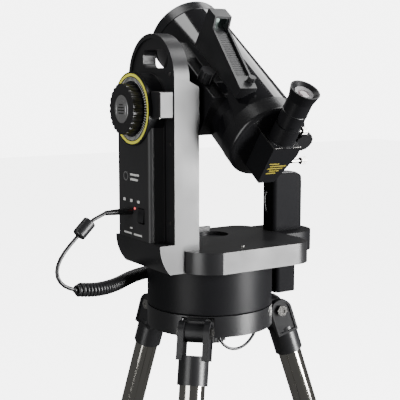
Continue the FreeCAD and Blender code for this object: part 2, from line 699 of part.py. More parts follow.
def gearbox_boss():
    ring = pipe(BOSS_R, BOSS_R - BOSS_WALL, (BOSS_LEFT, 0, Z_ALT), (ARM_LEFT, 0, Z_ALT))
    lid = pipe(BOSS_R, SHAFT_R + RUN_FIT, (BOSS_LEFT, 0, Z_ALT), (BOSS_LEFT + WALL, 0, Z_ALT))
    return fuse(ring, lid)


def housing_screws():
    """Domed screw heads: down the arm's outer face and one on the plate."""
    heads = []
    left = ARM_LEFT + RECESS_D
    for y, z in SCREW_PLACES:
        heads.append(rod(SCREW_R, (left - SCREW_H, y, HEAD_TOP + z), (left, y, HEAD_TOP + z)))
    heads.append(rod(SCREW_R, (0, -75, Z_PLATE_TOP), (0, -75, Z_PLATE_TOP + SCREW_H)))
    return Part.makeCompound(heads)


def power_rocker():
    z = HEAD_TOP + ROCKER_Z
    half = ROCKER_H / 2 - 1.2
    body = block(PANEL_LEFT - 1.2, PANEL_LEFT + 6, ROCKER_Y - ROCKER_W / 2, ROCKER_Y + ROCKER_W / 2,
                 z - half, z + half)
    return turned(body, (PANEL_LEFT + 3, ROCKER_Y, z), Y_AXIS, ROCKER_TILT)


# ---- altitude shaft, dial, knob ----
def dial_left():
    return BOSS_LEFT - GAP - DIAL_T


def altitude_shaft():
    right = ARM_LEFT + ARM_T
    shaft = rod(SHAFT_R, (dial_left(), 0, Z_ALT), (right + GAP, 0, Z_ALT))
    middle = (ARM_LEFT + right - WALL) / 2
    wheel = rod(ALT_WHEEL_R, (middle - ALT_WHEEL_T / 2, 0, Z_ALT), (middle + ALT_WHEEL_T / 2, 0, Z_ALT))
    stub = rod(STUB_R, (dial_left() - GRIP_T + 5, 0, Z_ALT), (dial_left(), 0, Z_ALT))
    return fuse(shaft, wheel, stub)


def altitude_dial():
    left = dial_left()
    disc = pipe(DIAL_R, SHAFT_R, (left, 0, Z_ALT), (left + DIAL_T, 0, Z_ALT))
    dish = Part.makeCone(DIAL_R - 6, GRIP_R + 2, 1.6, Vector(left, 0, Z_ALT), X_AXIS)
    return disc.cut(dish)


def altitude_knob():
    """Lock knob on the shaft's threaded end, with a shallow seat for the badge."""
    right = dial_left() - GAP
    knob = turned(grooved_knob(GRIP_R + 1.2, GRIP_T - GAP, GRIP_LOBES, LOBE_R), (0, 0, 0), Y_AXIS, -90)
    knob = moved(knob, right, 0, Z_ALT)
    face = dial_left() - GRIP_T
    knob = knob.cut(rod(BADGE_R, (face, 0, Z_ALT), (face + BADGE_D, 0, Z_ALT)))
    return knob.cut(rod(STUB_R + RUN_FIT, (face + 5 - GAP, 0, Z_ALT), (right, 0, Z_ALT)))


# ---- tube assembly: built level, with the altitude axis along X through the origin ----
def aim(shape):
    return moved(turned(shape, (0, 0, 0), X_AXIS, TILT), z=Z_ALT)


def on_tube(y, up=0.0, x=0.0):
    """A point in the level frame, given from the tube's axis."""
    return TUBE_X + x, y, TUBE_RISE + up


def tube_saddle():
    right = ARM_LEFT + ARM_T + GAP
    tube_left = TUBE_X - TUBE_R
    plate_x = tube_left - SADDLE_BLOCK_X
    disc = rod(SADDLE_DISC_R, (right, 0, 0), (plate_x, 0, 0))
    low, high = TUBE_RISE - SADDLE_HALF_H, TUBE_RISE + SADDLE_HALF_H
    body = block(plate_x, tube_left + 9, -SADDLE_HALF_L, SADDLE_HALF_L, low, high)
    body = body.makeFillet(3, edges_along(body, Y_AXIS))
    solid = fuse(disc, body).cut(rod(TUBE_R, on_tube(-99), on_tube(99)))
    x = plate_x + 5
    bore = rod(SADDLE_STEM_R + RUN_FIT, (x, SADDLE_KNOB_Y, high - 12), (x, SADDLE_KNOB_Y, high))
    return solid.cut(bore).removeSplitter()


def saddle_knob():
    x = TUBE_X - TUBE_R - SADDLE_BLOCK_X + 5
    high = TUBE_RISE + SADDLE_HALF_H
    knob = moved(grooved_knob(SADDLE_KNOB_R, SADDLE_KNOB_H, 8, 1.8), x, SADDLE_KNOB_Y, high + GAP)
    stem = rod(SADDLE_STEM_R, (x, SADDLE_KNOB_Y, high - 11), (x, SADDLE_KNOB_Y, high + GAP))
    return fuse(knob, stem)


def optical_tube():
    return pipe(TUBE_R, TUBE_R - TUBE_WALL, on_tube(TUBE_REAR), on_tube(TUBE_FRONT))


def front_cell():
    start = TUBE_FRONT - 6
    end = start + FRONT_CELL_L
    outer = TUBE_R + CELL_LIP
    ring = pipe(outer, TUBE_R, on_tube(start), on_tube(TUBE_FRONT))
    nose = pipe(outer, LENS_R, on_tube(TUBE_FRONT), on_tube(end))
    skirt = pipe(TUBE_R - TUBE_WALL, LENS_R, on_tube(start), on_tube(TUBE_FRONT))
    seat = pipe(LENS_R + 1, LENS_R - 1.5, on_tube(start), on_tube(start + 2))
    return fuse(ring, nose, skirt, seat)


def corrector_lens():
    """A thick meniscus: both faces hollow towards the sky."""
    back = TUBE_FRONT - 4
    sphere_r = (LENS_R ** 2 + LENS_SAG ** 2) / (2 * LENS_SAG)
    disc = rod(LENS_R, on_tube(back), on_tube(back + LENS_T + LENS_SAG))
    x, y, z = on_tube(back + LENS_T + sphere_r)
    hollow = Part.makeSphere(sphere_r, Vector(x, y, z))
    front_face = disc.cut(hollow)
    x, y, z = on_tube(back + sphere_r)
    return front_face.common(Part.makeSphere(sphere_r, Vector(x, y, z)))


def rear_cell():
    start = REAR_CELL_BACK
    end = start + REAR_CELL_L
    outer = TUBE_R + CELL_LIP
    body = rod(outer, on_tube(start), on_tube(end))
    circles = [e for e in body.Edges if isinstance(e.Curve, Part.Circle)]
    rear_edge = [e for e in circles if abs(e.CenterOfMass.y - start) < 1]
    body = body.makeFillet(5, rear_edge)
    body = body.cut(pipe(outer + 1, TUBE_R, on_tube(end - 0.01), on_tube(end + 1)))
    body = body.cut(rod(TUBE_R, on_tube(TUBE_REAR), on_tube(end)))
    body = body.cut(rod(TUBE_R - 5, on_tube(start + 6), on_tube(TUBE_REAR)))
    baffle = rod(BAFFLE_R, on_tube(start + 5), on_tube(start + 6 + BAFFLE_L))
    body = fuse(body, baffle).cut(rod(BAFFLE_R - BAFFLE_WALL, on_tube(start), on_tube(start + 6 + BAFFLE_L)))
    x = FOCUS_X
    bore = rod(FOCUS_STEM_R + RUN_FIT, on_tube(start, FOCUS_UP, x), on_tube(start + 6, FOCUS_UP, x))
    return body.cut(bore).removeSplitter()


def primary_mirror():
    """Glass mirror sliding on the baffle tube, with the nut that the focus screw drives."""
    disc = rod(MIRROR_R, on_tube(MIRROR_Y), on_tube(MIRROR_Y + MIRROR_T))
    radius = 600.0
    x, y, z = on_tube(MIRROR_Y + MIRROR_T - 2 + radius)
    disc = disc.cut(Part.makeSphere(radius, Vector(x, y, z)))
    sleeve = rod(MIRROR_BORE + 3, on_tube(MIRROR_Y - 10), on_tube(MIRROR_Y + 1))
    solid = fuse(disc, sleeve)
    return solid.cut(rod(BAFFLE_R + RUN_FIT, on_tube(MIRROR_Y - 11), on_tube(MIRROR_Y + MIRROR_T + 1)))


def focus_knob():
    y = REAR_CELL_BACK - GAP
    x, y_tip, z = on_tube(y - FOCUS_L, FOCUS_UP, FOCUS_X)
    knob = turned(ribbed_knob(FOCUS_R - 0.8, FOCUS_L, 14, 0.8), (0, 0, 0), X_AXIS, -90)
    stem = rod(FOCUS_STEM_R, on_tube(y, FOCUS_UP, FOCUS_X), on_tube(y + FOCUS_STEM_L, FOCUS_UP, FOCUS_X))
    return fuse(moved(knob, x, y_tip, z), stem)


# ---- flip mirror box ----
def box_profile(inset):
    """The box seen from behind: its right side slants inwards below the middle."""
    half = BOX_W / 2 - inset
    y = REAR_CELL_BACK - BOX_L + inset
    return [on_tube(y, up, x) for up, x in ((BOX_UP - inset, -half), (BOX_UP - inset, half),
                                            (BOX_CORNER_UP, half), (-BOX_DOWN + inset, BOX_TOE - inset),
                                            (-BOX_DOWN + inset, -half))]


def mirror_box():
    front = REAR_CELL_BACK
    solid = prism(box_profile(0), (0, BOX_L, 0))
    solid = solid.makeFillet(1.6, edges_along(solid, Y_AXIS))
    port = rod(PORT_OUT_R, on_tube(EYE_Y, BOX_UP - 1), on_tube(EYE_Y, BOX_UP + COLLAR_UP))
    solid = fuse(solid, port)
    solid = solid.cut(prism(box_profile(BOX_WALL), (0, BOX_L - 2 * BOX_WALL, 0)))
    solid = solid.cut(rod(PORT_R, on_tube(EYE_Y, BOX_UP - BOX_WALL - 1), on_tube(EYE_Y, BOX_UP + COLLAR_UP)))
    solid = solid.cut(rod(BAFFLE_R - BAFFLE_WALL, on_tube(front - BOX_WALL), on_tube(front)))
    pivot = rod(FLIP_STEM_R + RUN_FIT, flip_point(BOX_TOE), flip_point(BOX_W / 2))
    screw = rod(EYE_SCREW_R + RUN_FIT, eye_screw_point(0), eye_screw_point(PORT_OUT_R + 1))
    return solid.cut(pivot).cut(screw).removeSplitter()


def flip_point(x):
    return on_tube(EYE_Y + FLIP_FORE, FLIP_UP, x)


def flip_lever():
    """Mirror plate, its shaft, and the crank with a knob that stands outside the box on the right."""
    half = BOX_W / 2
    x, y, z = flip_point(0)
    stem = rod(FLIP_STEM_R, flip_point(-half + BOX_WALL + GAP), flip_point(FLIP_CRANK_X))
    plate = block(x - half + BOX_WALL + 2 * GAP, x + BOX_TOE + BOX_WALL, y - FLIP_PLATE_L, y,
                  z - FLIP_PLATE_T / 2, z + FLIP_PLATE_T / 2)
    plate = turned(plate, (x, y, z), X_AXIS, -45)
    x0, x1 = x + FLIP_CRANK_X, x + FLIP_CRANK_X + FLIP_CRANK_T
    width = FLIP_STEM_R + 0.6
    crank = fuse(block(x0, x1, y, y + FLIP_CRANK_L, z - width, z + width),
                 rod(width, (x0, y, z), (x1, y, z)),
                 rod(width, (x0, y + FLIP_CRANK_L, z), (x1, y + FLIP_CRANK_L, z)),
                 rod(FLIP_STEM_R, (x1, y + FLIP_CRANK_L, z), (x + FLIP_KNOB_REACH, y + FLIP_CRANK_L, z)))
    knob = turned(ribbed_knob(FLIP_KNOB_R - 0.6, FLIP_KNOB_L, 16, 0.6), (0, 0, 0), Y_AXIS, 90)
    knob = moved(knob, x + FLIP_KNOB_REACH - FLIP_KNOB_L, y + FLIP_CRANK_L, z)
    crank = turned(fuse(crank, knob), (x, y, z), X_AXIS, FLIP_CRANK_TURN)
    return fuse(stem, plate, crank)


def eye_screw_point(x):
    return on_tube(EYE_Y, BOX_UP + COLLAR_UP / 2 + 1, x)


def eyepiece_screw():
    start = EYE_BARREL_R + EYE_SCREW_BACK
    neck = PORT_OUT_R + EYE_SCREW_PROUD
    stem = rod(EYE_SCREW_R, eye_screw_point(start), eye_screw_point(neck))
    head = ribbed_knob(EYE_SCREW_HEAD_R - 0.5, EYE_SCREW_HEAD_L, 14, 0.5)
    return fuse(stem, moved(turned(head, (0, 0, 0), Y_AXIS, 90), *eye_screw_point(neck)))


def eyepiece():
    seat = BOX_UP + COLLAR_UP
    flange = seat + GAP
    barrel = rod(EYE_BARREL_R, on_tube(EYE_Y, flange - EYE_BARREL_L + 8), on_tube(EYE_Y, flange))
    rim = rod(EYE_BARREL_R + 1.6, on_tube(EYE_Y, flange), on_tube(EYE_Y, flange + 5))
    body = rod(EYE_BODY_R, on_tube(EYE_Y, flange + 5), on_tube(EYE_Y, flange + 5 + EYE_BODY_L - EYE_CUP_L))
    x, y, z = on_tube(EYE_Y, flange + 5 + EYE_BODY_L - EYE_CUP_L)
    cup = Part.makeCone(EYE_BODY_R, EYE_CUP_R, EYE_CUP_L, Vector(x, y, z))
    bowl = Part.makeCone(EYE_LENS_R, EYE_CUP_R - 2.2, EYE_CUP_L - 8, Vector(x, y, z + 8))
    solid = fuse(barrel, rim, body, cup.cut(bowl))
    bottom = on_tube(EYE_Y, flange - EYE_BARREL_L + 8)
    return solid.cut(rod(EYE_LENS_R + 3, bottom, on_tube(EYE_Y, flange)))


# ---- red-dot finder, standing upright on the tube's left shoulder ----
def finder_top(y):
    return FINDER_LOW + (y - FINDER_REAR) * math.tan(math.radians(FINDER_SLOPE))


def finder_body():
    rear, front = FINDER_REAR, FINDER_FRONT
    hood = front - FINDER_HOOD_L
    half = FINDER_W / 2
    side = ((rear, FINDER_BASE), (rear, FINDER_LOW), (hood, finder_top(hood)), (hood + 4, FINDER_HOOD_TOP),
            (front, FINDER_HOOD_TOP), (front, FINDER_BASE))
    solid = prism([on_tube(y, up, FINDER_X - half) for y, up in side], (FINDER_W, 0, 0))
    inner = half - FINDER_T
    start = rear + FINDER_PAD_L
    floor = ((start, finder_top(start) - FINDER_CHANNEL_D), (start, FINDER_HOOD_TOP),
             (hood, FINDER_HOOD_TOP), (hood, finder_top(hood) - FINDER_CHANNEL_D))
    channel = prism([on_tube(y, up, FINDER_X - inner) for y, up in floor], (2 * inner, 0, 0))
    low = finder_top(hood) - FINDER_CHANNEL_D
    tunnel = prism([on_tube(hood - 1, up, FINDER_X + x) for up, x in
                    ((low, -inner), (low, inner), (FINDER_HOOD_TOP - FINDER_T, inner),
                     (FINDER_HOOD_TOP - FINDER_T, -inner))], (0, FINDER_HOOD_L + 2, 0))
    seat = rod(TUBE_R, on_tube(rear - 1), on_tube(front + 1))
    bore = rod(1.5 + RUN_FIT, finder_knob_point(-5), finder_knob_point(2))
    return solid.cut(channel).cut(tunnel).cut(seat).cut(bore).removeSplitter()


def finder_knob_point(rise):
    y = FINDER_REAR + FINDER_PAD_L / 2
    return on_tube(y, finder_top(y + FINDER_KNOB_R) + rise, FINDER_X + FINDER_W / 4)


def finder_knob():
    knob = moved(ribbed_knob(FINDER_KNOB_R - 0.5, FINDER_KNOB_L, 12, 0.5), *finder_knob_point(GAP))
    return fuse(knob, rod(1.5, finder_knob_point(-5 + GAP), finder_knob_point(GAP)))


def finder_window():
    """Coated glass across the hood, leaning back."""
    inner = FINDER_W / 2 - FINDER_T
    hood = FINDER_FRONT - FINDER_HOOD_L
    low = finder_top(hood) - FINDER_CHANNEL_D
    x, y, z = on_tube(FINDER_FRONT - FINDER_HOOD_L / 2, low, FINDER_X)
    tall = FINDER_HOOD_TOP - FINDER_T - low
    pane = block(x - inner, x + inner, y, y + WINDOW_T, z - 5, z + tall + 5)
    pane = turned(pane, (x, y, z), X_AXIS, WINDOW_LEAN)
    return pane.common(block(x - inner, x + inner, y - 30, y + 30, z, z + tall))


# ---- handset ----
def handset_front():
    return HAND_Y + HEAD_D / 2


def handset_shell():
    top = HEAD_TOP + HAND_TOP
    shelf = Z_PLATE_TOP
    head = rounded_block(HAND_X - HEAD_W / 2, HAND_X + HEAD_W / 2, HAND_Y - HEAD_D / 2, HAND_Y + HEAD_D / 2,
                         shelf, top, HAND_CORNER, Z_AXIS)
    # The outer top corner is a large round.
    edge = HAND_X + HEAD_W / 2
    corner = block(edge - SHOULDER_R, edge + 1, HAND_Y - HEAD_D, HAND_Y + HEAD_D, top - SHOULDER_R, top + 1)
    round_line = [(edge - SHOULDER_R, HAND_Y + way * HEAD_D, top - SHOULDER_R) for way in (-1, 1)]
    head = head.cut(corner.cut(rod(SHOULDER_R, *round_line)))
    grip = rounded_block(HAND_X - GRIP_W / 2, HAND_X + GRIP_W / 2, HAND_Y - GRIP_D / 2, HAND_Y + GRIP_D / 2,
                         HEAD_TOP + HAND_BOTTOM, shelf, HAND_CORNER, Z_AXIS)
    solid = fuse(head, grip)
    for disc in (rod(PAD_R + GAP, *key_line(0, PAD_DROP)),
                 rod(KEY_R + GAP, *key_line(-KEY_SPREAD, KEY_DROP)),
                 rod(KEY_R + GAP, *key_line(KEY_SPREAD, KEY_DROP))):
        solid = solid.cut(disc)
    z = HEAD_TOP + HAND_BOOT_Z
    boot_y = HAND_Y + GRIP_D / 2
    boot = rod(HAND_BOOT_R, (HAND_X, boot_y, z), (HAND_X, boot_y + HAND_BOOT_L, z))
    return fuse(solid.cut(display_block(0)), boot)


def key_line(x, drop, front=0.0):
    """Both ends of a key's axis: its seat inside the shell, and a point ahead of the front face."""
    z = HEAD_TOP + HAND_TOP - drop
    y = handset_front()
    return (HAND_X + x, y - KEY_DEEP, z), (HAND_X + x, y + front, z)


def display_block(play):
    y = handset_front()
    half = DISPLAY_W / 2 - play
    z1 = HEAD_TOP + HAND_TOP - DISPLAY_DROP
    return block(HAND_X - half, HAND_X + half, y - DISPLAY_T, y, z1 - DISPLAY_H + play, z1 - play)


def key(radius, x, drop):
    back, front = key_line(x, drop, KEY_PROUD)
    back = (back[0], back[1] + KEY_TRAVEL + GAP, back[2])
    cap = rod(radius, back, front)
    rim = [e for e in cap.Edges if isinstance(e.Curve, Part.Circle) and e.CenterOfMass.y > front[1] - 0.1]
    return cap.makeFillet(0.8, rim)


# ---- what sits on the hand-control cord ----
def cord_plug():
    """Straight plug in the panel's socket, with its tapered boot."""
    z = HEAD_TOP + LEAD_POINTS[0][2]
    x0 = LEAD_POINTS[0][0]
    body_end = PANEL_LEFT - 15
    tip = rod(SOCKET_R - 0.6, (PANEL_LEFT, SOCKET_Y, z), (PANEL_LEFT + 9, SOCKET_Y, z))
    body = rod(PLUG_R, (PANEL_LEFT - 15, SOCKET_Y, z), (PANEL_LEFT, SOCKET_Y, z))
    boot = Part.makeCone(CORD_R + 0.5, PLUG_R - 0.5, body_end - x0, Vector(x0, SOCKET_Y, z), X_AXIS)
    return fuse(tip, body, boot)


def ferrite_bead():
    a = Vector(*LEAD_POINTS[1])
    b = Vector(*LEAD_POINTS[2])
    line = (b - a).normalize()
    middle = (a + b) * 0.5 + Vector(0, 0, HEAD_TOP)
    start = middle - line * (BEAD_L / 2)
    body = Part.makeCylinder(BEAD_R, BEAD_L, start, line)
    body = body.makeFillet(2.5, [e for e in body.Edges if isinstance(e.Curve, Part.Circle)])
    return body.cut(Part.makeCylinder(CORD_R + GAP, BEAD_L, start, line))


def build():
    shapes = {
        "tripod_head": tripod_head(),
        "leg_pivot_bolts": leg_pivot_bolts(),
        "azimuth_gear": azimuth_gear(),
        "mount_bolt_knob": mount_bolt_knob(),
        "tether_cable": tether_cable(),
    }
    for number, angle in enumerate(LEG_ANGLES, 1):
        shapes["leg_fitting_%d" % number] = place_leg(leg_fitting(), angle)
        shapes["upper_tube_%d" % number] = place_leg(upper_tube(), angle)
        shapes["lock_collar_%d" % number] = place_leg(lock_collar(), angle)
        shapes["lock_knob_%d" % number] = place_leg(lock_knob(), angle)
        shapes["lower_tube_%d" % number] = place_leg(lower_tube(), angle)
        shapes["foot_%d" % number] = placed_foot(angle)
    shapes.update({
        "drum_housing": drum_housing(),
        "azimuth_gearbox": azimuth_gearbox(),
        "base_plate": base_plate(),
        "handset_holder": handset_holder(),
        "arm_frame": arm_frame(),
        "control_panel": control_panel(),
        "gearbox_boss": gearbox_boss(),
        "housing_screws": housing_screws(),
        "power_rocker": power_rocker(),
        "altitude_shaft": altitude_shaft(),
        "altitude_dial": altitude_dial(),
        "altitude_knob": altitude_knob(),
        "tube_saddle": aim(tube_saddle()),
        "saddle_knob": aim(saddle_knob()),
        "optical_tube": aim(optical_tube()),
        "front_cell": aim(front_cell()),
        "corrector_lens": aim(corrector_lens()),
        "rear_cell": aim(rear_cell()),
        "primary_mirror": aim(primary_mirror()),
        "focus_knob": aim(focus_knob()),
        "mirror_box": aim(mirror_box()),
        "flip_lever": aim(flip_lever()),
        "eyepiece_screw": aim(eyepiece_screw()),
        "eyepiece": aim(eyepiece()),
        "finder_body": aim(finder_body()),
        "finder_window": aim(finder_window()),
        "finder_knob": aim(finder_knob()),
        "handset_shell": handset_shell(),
        "handset_display": display_block(0),
        "direction_pad": key(PAD_R, 0, PAD_DROP),
        "enter_key": key(KEY_R, -KEY_SPREAD, KEY_DROP),
        "back_key": key(KEY_R, KEY_SPREAD, KEY_DROP),
        "cord_plug": cord_plug(),
        "ferrite_bead": ferrite_bead(),
        "cord_lead": cord_tube("cord_lead", LEAD_POINTS, CORD_R),
        "coil_cord": cord_tube("coil_cord", COIL_POINTS, COIL_R),
        "cord_tail": cord_tube("cord_tail", TAIL_POINTS, CORD_R),
    })
    # Two ends that meet at a small angle are trimmed so that they only touch.
    for name, neighbour in MEETING_ENDS:
        shapes[name] = shapes[name].cut(shapes[neighbour])
    return shapes


MEETING_ENDS = (("cord_lead", "cord_plug"), ("cord_lead", "coil_cord"), ("cord_tail", "coil_cord"),
                ("cord_tail", "handset_shell"), ("tether_cable", "tripod_head"))
CORD_NODES = ("tether_cable", "cord_plug", "ferrite_bead", "cord_lead", "coil_cord", "cord_tail")


def centre_shift(shapes):
    """Moves the bottom centre of the box round everything but the cords to the origin."""
    box = FreeCAD.BoundBox()
    for name, shape in shapes.items():
        if name not in CORD_NODES:
            box.add(shape.optimalBoundingBox(False))
    return Vector(-box.Center.x, -box.Center.y, -box.ZMin)


def main():
    shapes = build()
    shift = centre_shift(shapes)
    os.makedirs("parts", exist_ok=True)
    for name, shape in shapes.items():
        shape.translate(shift)
        shape.exportStep("parts/%s.step" % name)
    place = [round(value, 3) for value in shift]
    print(len(shapes), "nodes, azimuth axis moved to", place)
    return shift


SHIFT = main()
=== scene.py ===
import json
import math

import bmesh
import bpy
from mathutils import Matrix, Vector


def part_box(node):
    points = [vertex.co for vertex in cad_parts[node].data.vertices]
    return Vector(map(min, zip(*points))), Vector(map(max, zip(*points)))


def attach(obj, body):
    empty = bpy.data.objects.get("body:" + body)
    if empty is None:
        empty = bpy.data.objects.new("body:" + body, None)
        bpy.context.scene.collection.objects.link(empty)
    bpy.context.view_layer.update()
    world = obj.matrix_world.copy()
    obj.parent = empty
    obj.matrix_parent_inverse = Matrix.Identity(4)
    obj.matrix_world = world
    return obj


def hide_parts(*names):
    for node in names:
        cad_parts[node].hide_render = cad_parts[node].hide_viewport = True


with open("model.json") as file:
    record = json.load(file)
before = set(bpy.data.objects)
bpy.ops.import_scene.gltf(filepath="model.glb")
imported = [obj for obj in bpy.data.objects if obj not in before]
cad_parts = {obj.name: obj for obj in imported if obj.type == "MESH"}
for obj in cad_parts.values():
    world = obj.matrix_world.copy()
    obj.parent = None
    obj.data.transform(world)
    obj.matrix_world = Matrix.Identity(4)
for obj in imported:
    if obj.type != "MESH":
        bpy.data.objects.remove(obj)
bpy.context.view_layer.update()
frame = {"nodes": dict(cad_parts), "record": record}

# ---- where things are ----
# The mount turns about an upright axis through the drum. Places below are millimetres from the point
# where that axis meets the seam between the tripod head and the drum, the same ones the CAD source uses.
MM = 0.001
SEAM_GAP = 0.0006
drum_low, drum_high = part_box("drum_housing")
AXIS_X = (drum_low.x + drum_high.x) / 2
AXIS_Y = (drum_low.y + drum_high.y) / 2
SEAM = drum_low.z - SEAM_GAP
ON_MOUNT = Matrix.Translation((AXIS_X, AXIS_Y, SEAM)) @ Matrix.Scale(MM, 4)


def at(x, y, z):
    return ON_MOUNT @ Vector((x, y, z))


# ---- camera ----
# A long lens, a little above the altitude axis, looking down at the mount from behind its arm.
CAMERA_PLACE = (-651.8, -980.1, 297.3)
CAMERA_AZIMUTH = 33.0
CAMERA_DOWN = 7.8
camera_data = bpy.data.cameras.new("camera")
camera_data.sensor_width = 36.0
camera_data.lens = 81.0
camera_data.clip_end = 50.0
camera = bpy.data.objects.new("camera", camera_data)
bpy.context.scene.collection.objects.link(camera)
camera.location = at(*CAMERA_PLACE)
camera.rotation_euler = (math.radians(90 - CAMERA_DOWN), 0, math.radians(-CAMERA_AZIMUTH))
bpy.context.scene.camera = camera

# ---- hand-control cord ----
# One black jacketed cord: a plain lead from the plug through its ferrite bead, a curly stretch that hangs
# round the far side of the drum, and a plain tail into the hand control.
CORD_R = 2.5
COIL_R = 9.0
TURN_PITCH = 5.4
TURN_POINTS = 12
TAPER_TURNS = 1.5
SPLINE_SHRINK = 0.966        # a quadratic spline with 12 points a turn runs this much inside them
LEAD_POINTS = ((-150.0, 7.5, 130.0), (-168.0, 7.0, 125.0), (-192.0, 5.0, 102.5), (-209.0, 2.0, 88.0),
               (-220.0, -1.0, 73.0), (-221.5, -3.0, 58.5), (-212.5, -4.0, 47.0), (-200.0, -4.0, 42.0))
COIL_POINTS = ((-200.0, -4.0, 42.0), (-176.0, 1.0, 37.0), (-150.0, 12.0, 34.0), (-122.0, 32.0, 32.0),
               (-94.0, 57.0, 31.0), (-62.0, 79.0, 30.0), (-25.0, 95.0, 28.0), (15.0, 99.0, 26.0),
               (53.0, 87.0, 24.0), (82.0, 66.0, 21.0))
TAIL_POINTS = ((82.0, 66.0, 21.0), (99.0, 57.5, 18.2), (116.0, 46.5, 15.0), (125.0, 36.0, 13.5),
               (126.0, 24.0, 13.0))


def spline_curve(name, points, radius, resolution):
    curve = bpy.data.curves.new(name, "CURVE")
    curve.dimensions = "3D"
    curve.resolution_u = resolution
    curve.bevel_depth = radius
    curve.bevel_resolution = 2
    curve.use_fill_caps = True
    spline = curve.splines.new("NURBS")
    spline.points.add(len(points) - 1)
    for knot, place in zip(spline.points, points):
        knot.co = (*place, 1.0)
    spline.order_u = 3
    spline.use_endpoint_u = True
    piece = bpy.data.objects.new(name, curve)
    bpy.context.scene.collection.objects.link(piece)
    return piece


def centreline(points):
    """Points along the route's own smooth line."""
    bare = spline_curve("route", points, 0.0, 24)
    bpy.context.view_layer.update()
    mesh = bpy.data.meshes.new_from_object(bare.evaluated_get(bpy.context.evaluated_depsgraph_get()))
    places = [vertex.co.copy() for vertex in mesh.vertices]
    bpy.data.objects.remove(bare)
    return places


def line_length(places):
    return sum((b - a).length for a, b in zip(places, places[1:]))


def helix(places, radius, pitch):
    """Turns of the curly stretch, opening from nothing at one end and closing to nothing at the other."""
    steps = [0.0]
    for a, b in zip(places, places[1:]):
        steps.append(steps[-1] + (b - a).length)
    total = steps[-1]
    count = int(total / pitch * TURN_POINTS)
    turns = []
    index = 0
    side = Vector((0, 0, 1))
    for i in range(1, count):
        along = total * i / count
        while steps[index + 1] < along:
            index += 1
        start, end = places[index], places[index + 1]
        ahead = (end - start).normalized()
        centre = start + ahead * (along - steps[index])
        side = (side - ahead * side.dot(ahead)).normalized()
        across = ahead.cross(side)
        angle = 2 * math.pi * i / TURN_POINTS
        opening = min(1.0, along / (TAPER_TURNS * pitch), (total - along) / (TAPER_TURNS * pitch))
        reach = radius * opening
        turns.append(centre + side * math.cos(angle) * reach + across * math.sin(angle) * reach)
    return turns


lead_route = [at(*p) for p in LEAD_POINTS]
coil_route = centreline([at(*p) for p in COIL_POINTS])
tail_route = [at(*p) for p in TAIL_POINTS]
turn_radius = (COIL_R - CORD_R) * MM / SPLINE_SHRINK
turns = helix(coil_route, turn_radius, TURN_PITCH * MM)
hand_cord = spline_curve("hand_cord", lead_route + turns + tail_route, CORD_R * MM, 2)
turn_length = math.hypot(2 * math.pi * (COIL_R - CORD_R), TURN_PITCH)
hand_cord_length = (line_length(coil_route) / TURN_PITCH * turn_length
                    + line_length(centreline(lead_route)) + line_length(centreline(tail_route)))


# ---- shader building blocks ----
def effect_group(name, inputs, outputs):
    """An empty shader node group with named sockets, and its two end nodes."""
    tree = bpy.data.node_groups.new(name, "ShaderNodeTree")
    for label, value in inputs:
        kind = "NodeSocketColor" if isinstance(value, tuple) else "NodeSocketFloat"
        socket = tree.interface.new_socket(label, in_out="INPUT", socket_type=kind)
        socket.default_value = value
    for label, kind in outputs:
        tree.interface.new_socket(label, in_out="OUTPUT", socket_type=kind)
    return tree, tree.nodes.new("NodeGroupInput"), tree.nodes.new("NodeGroupOutput")


def add_node(tree, kind, inputs=(), **settings):
    node = tree.nodes.new(kind)
    for name, value in settings.items():
        setattr(node, name, value)
    for socket, value in inputs:
        if isinstance(value, bpy.types.NodeSocket):
            tree.links.new(value, node.inputs[socket])
        else:
            node.inputs[socket].default_value = value
    return node


# Moulded grain: a fine bead-blasted texture with slow patches of sheen and small lighter specks.
SLOW_SCALE, SPECK_SCALE, SPECK_REACH = 22.0, 420.0, 0.16
grain, grain_in, grain_out = effect_group(
    "moulded_grain",
    (("Colour", (0.02, 0.02, 0.02, 1.0)), ("Lighter", (0.05, 0.05, 0.05, 1.0)), ("Grain Size", 900.0),
     ("Roughness", 0.4), ("Roughness Spread", 0.1)),
    (("Colour", "NodeSocketColor"), ("Roughness", "NodeSocketFloat"), ("Height", "NodeSocketFloat")))
grain_place = add_node(grain, "ShaderNodeTexCoord").outputs["Object"]
grain_fine = add_node(grain, "ShaderNodeTexNoise", (
    ("Vector", grain_place), ("Scale", grain_in.outputs["Grain Size"]), ("Detail", 3.0), ("Roughness", 0.6)))
grain_slow = add_node(grain, "ShaderNodeTexNoise", (
    ("Vector", grain_place), ("Scale", SLOW_SCALE), ("Detail", 4.0)))
grain_specks = add_node(grain, "ShaderNodeTexVoronoi", (("Vector", grain_place), ("Scale", SPECK_SCALE)))
grain_dust = add_node(grain, "ShaderNodeMapRange", (
    ("Value", grain_specks.outputs["Distance"]), ("From Min", 0.0), ("From Max", SPECK_REACH),
    ("To Min", 0.35), ("To Max", 0.0)))
grain_patch = add_node(grain, "ShaderNodeMapRange", (
    ("Value", grain_slow.outputs["Fac"]), ("From Min", 0.35), ("From Max", 0.7)))
grain_mask = add_node(grain, "ShaderNodeMath", ((0, grain_patch.outputs[0]), (1, grain_dust.outputs[0])),
                      operation="MULTIPLY")
MIX_FACTOR, MIX_A, MIX_B, MIX_RESULT = 0, 6, 7, 2        # the mix node's sockets for colours
grain_colour = add_node(grain, "ShaderNodeMix", data_type="RGBA")
grain.links.new(grain_mask.outputs[0], grain_colour.inputs[MIX_FACTOR])
grain.links.new(grain_in.outputs["Colour"], grain_colour.inputs[MIX_A])
grain.links.new(grain_in.outputs["Lighter"], grain_colour.inputs[MIX_B])
grain_swing = add_node(grain, "ShaderNodeMath", ((0, grain_slow.outputs["Fac"]), (1, 0.5)),
                       operation="SUBTRACT")
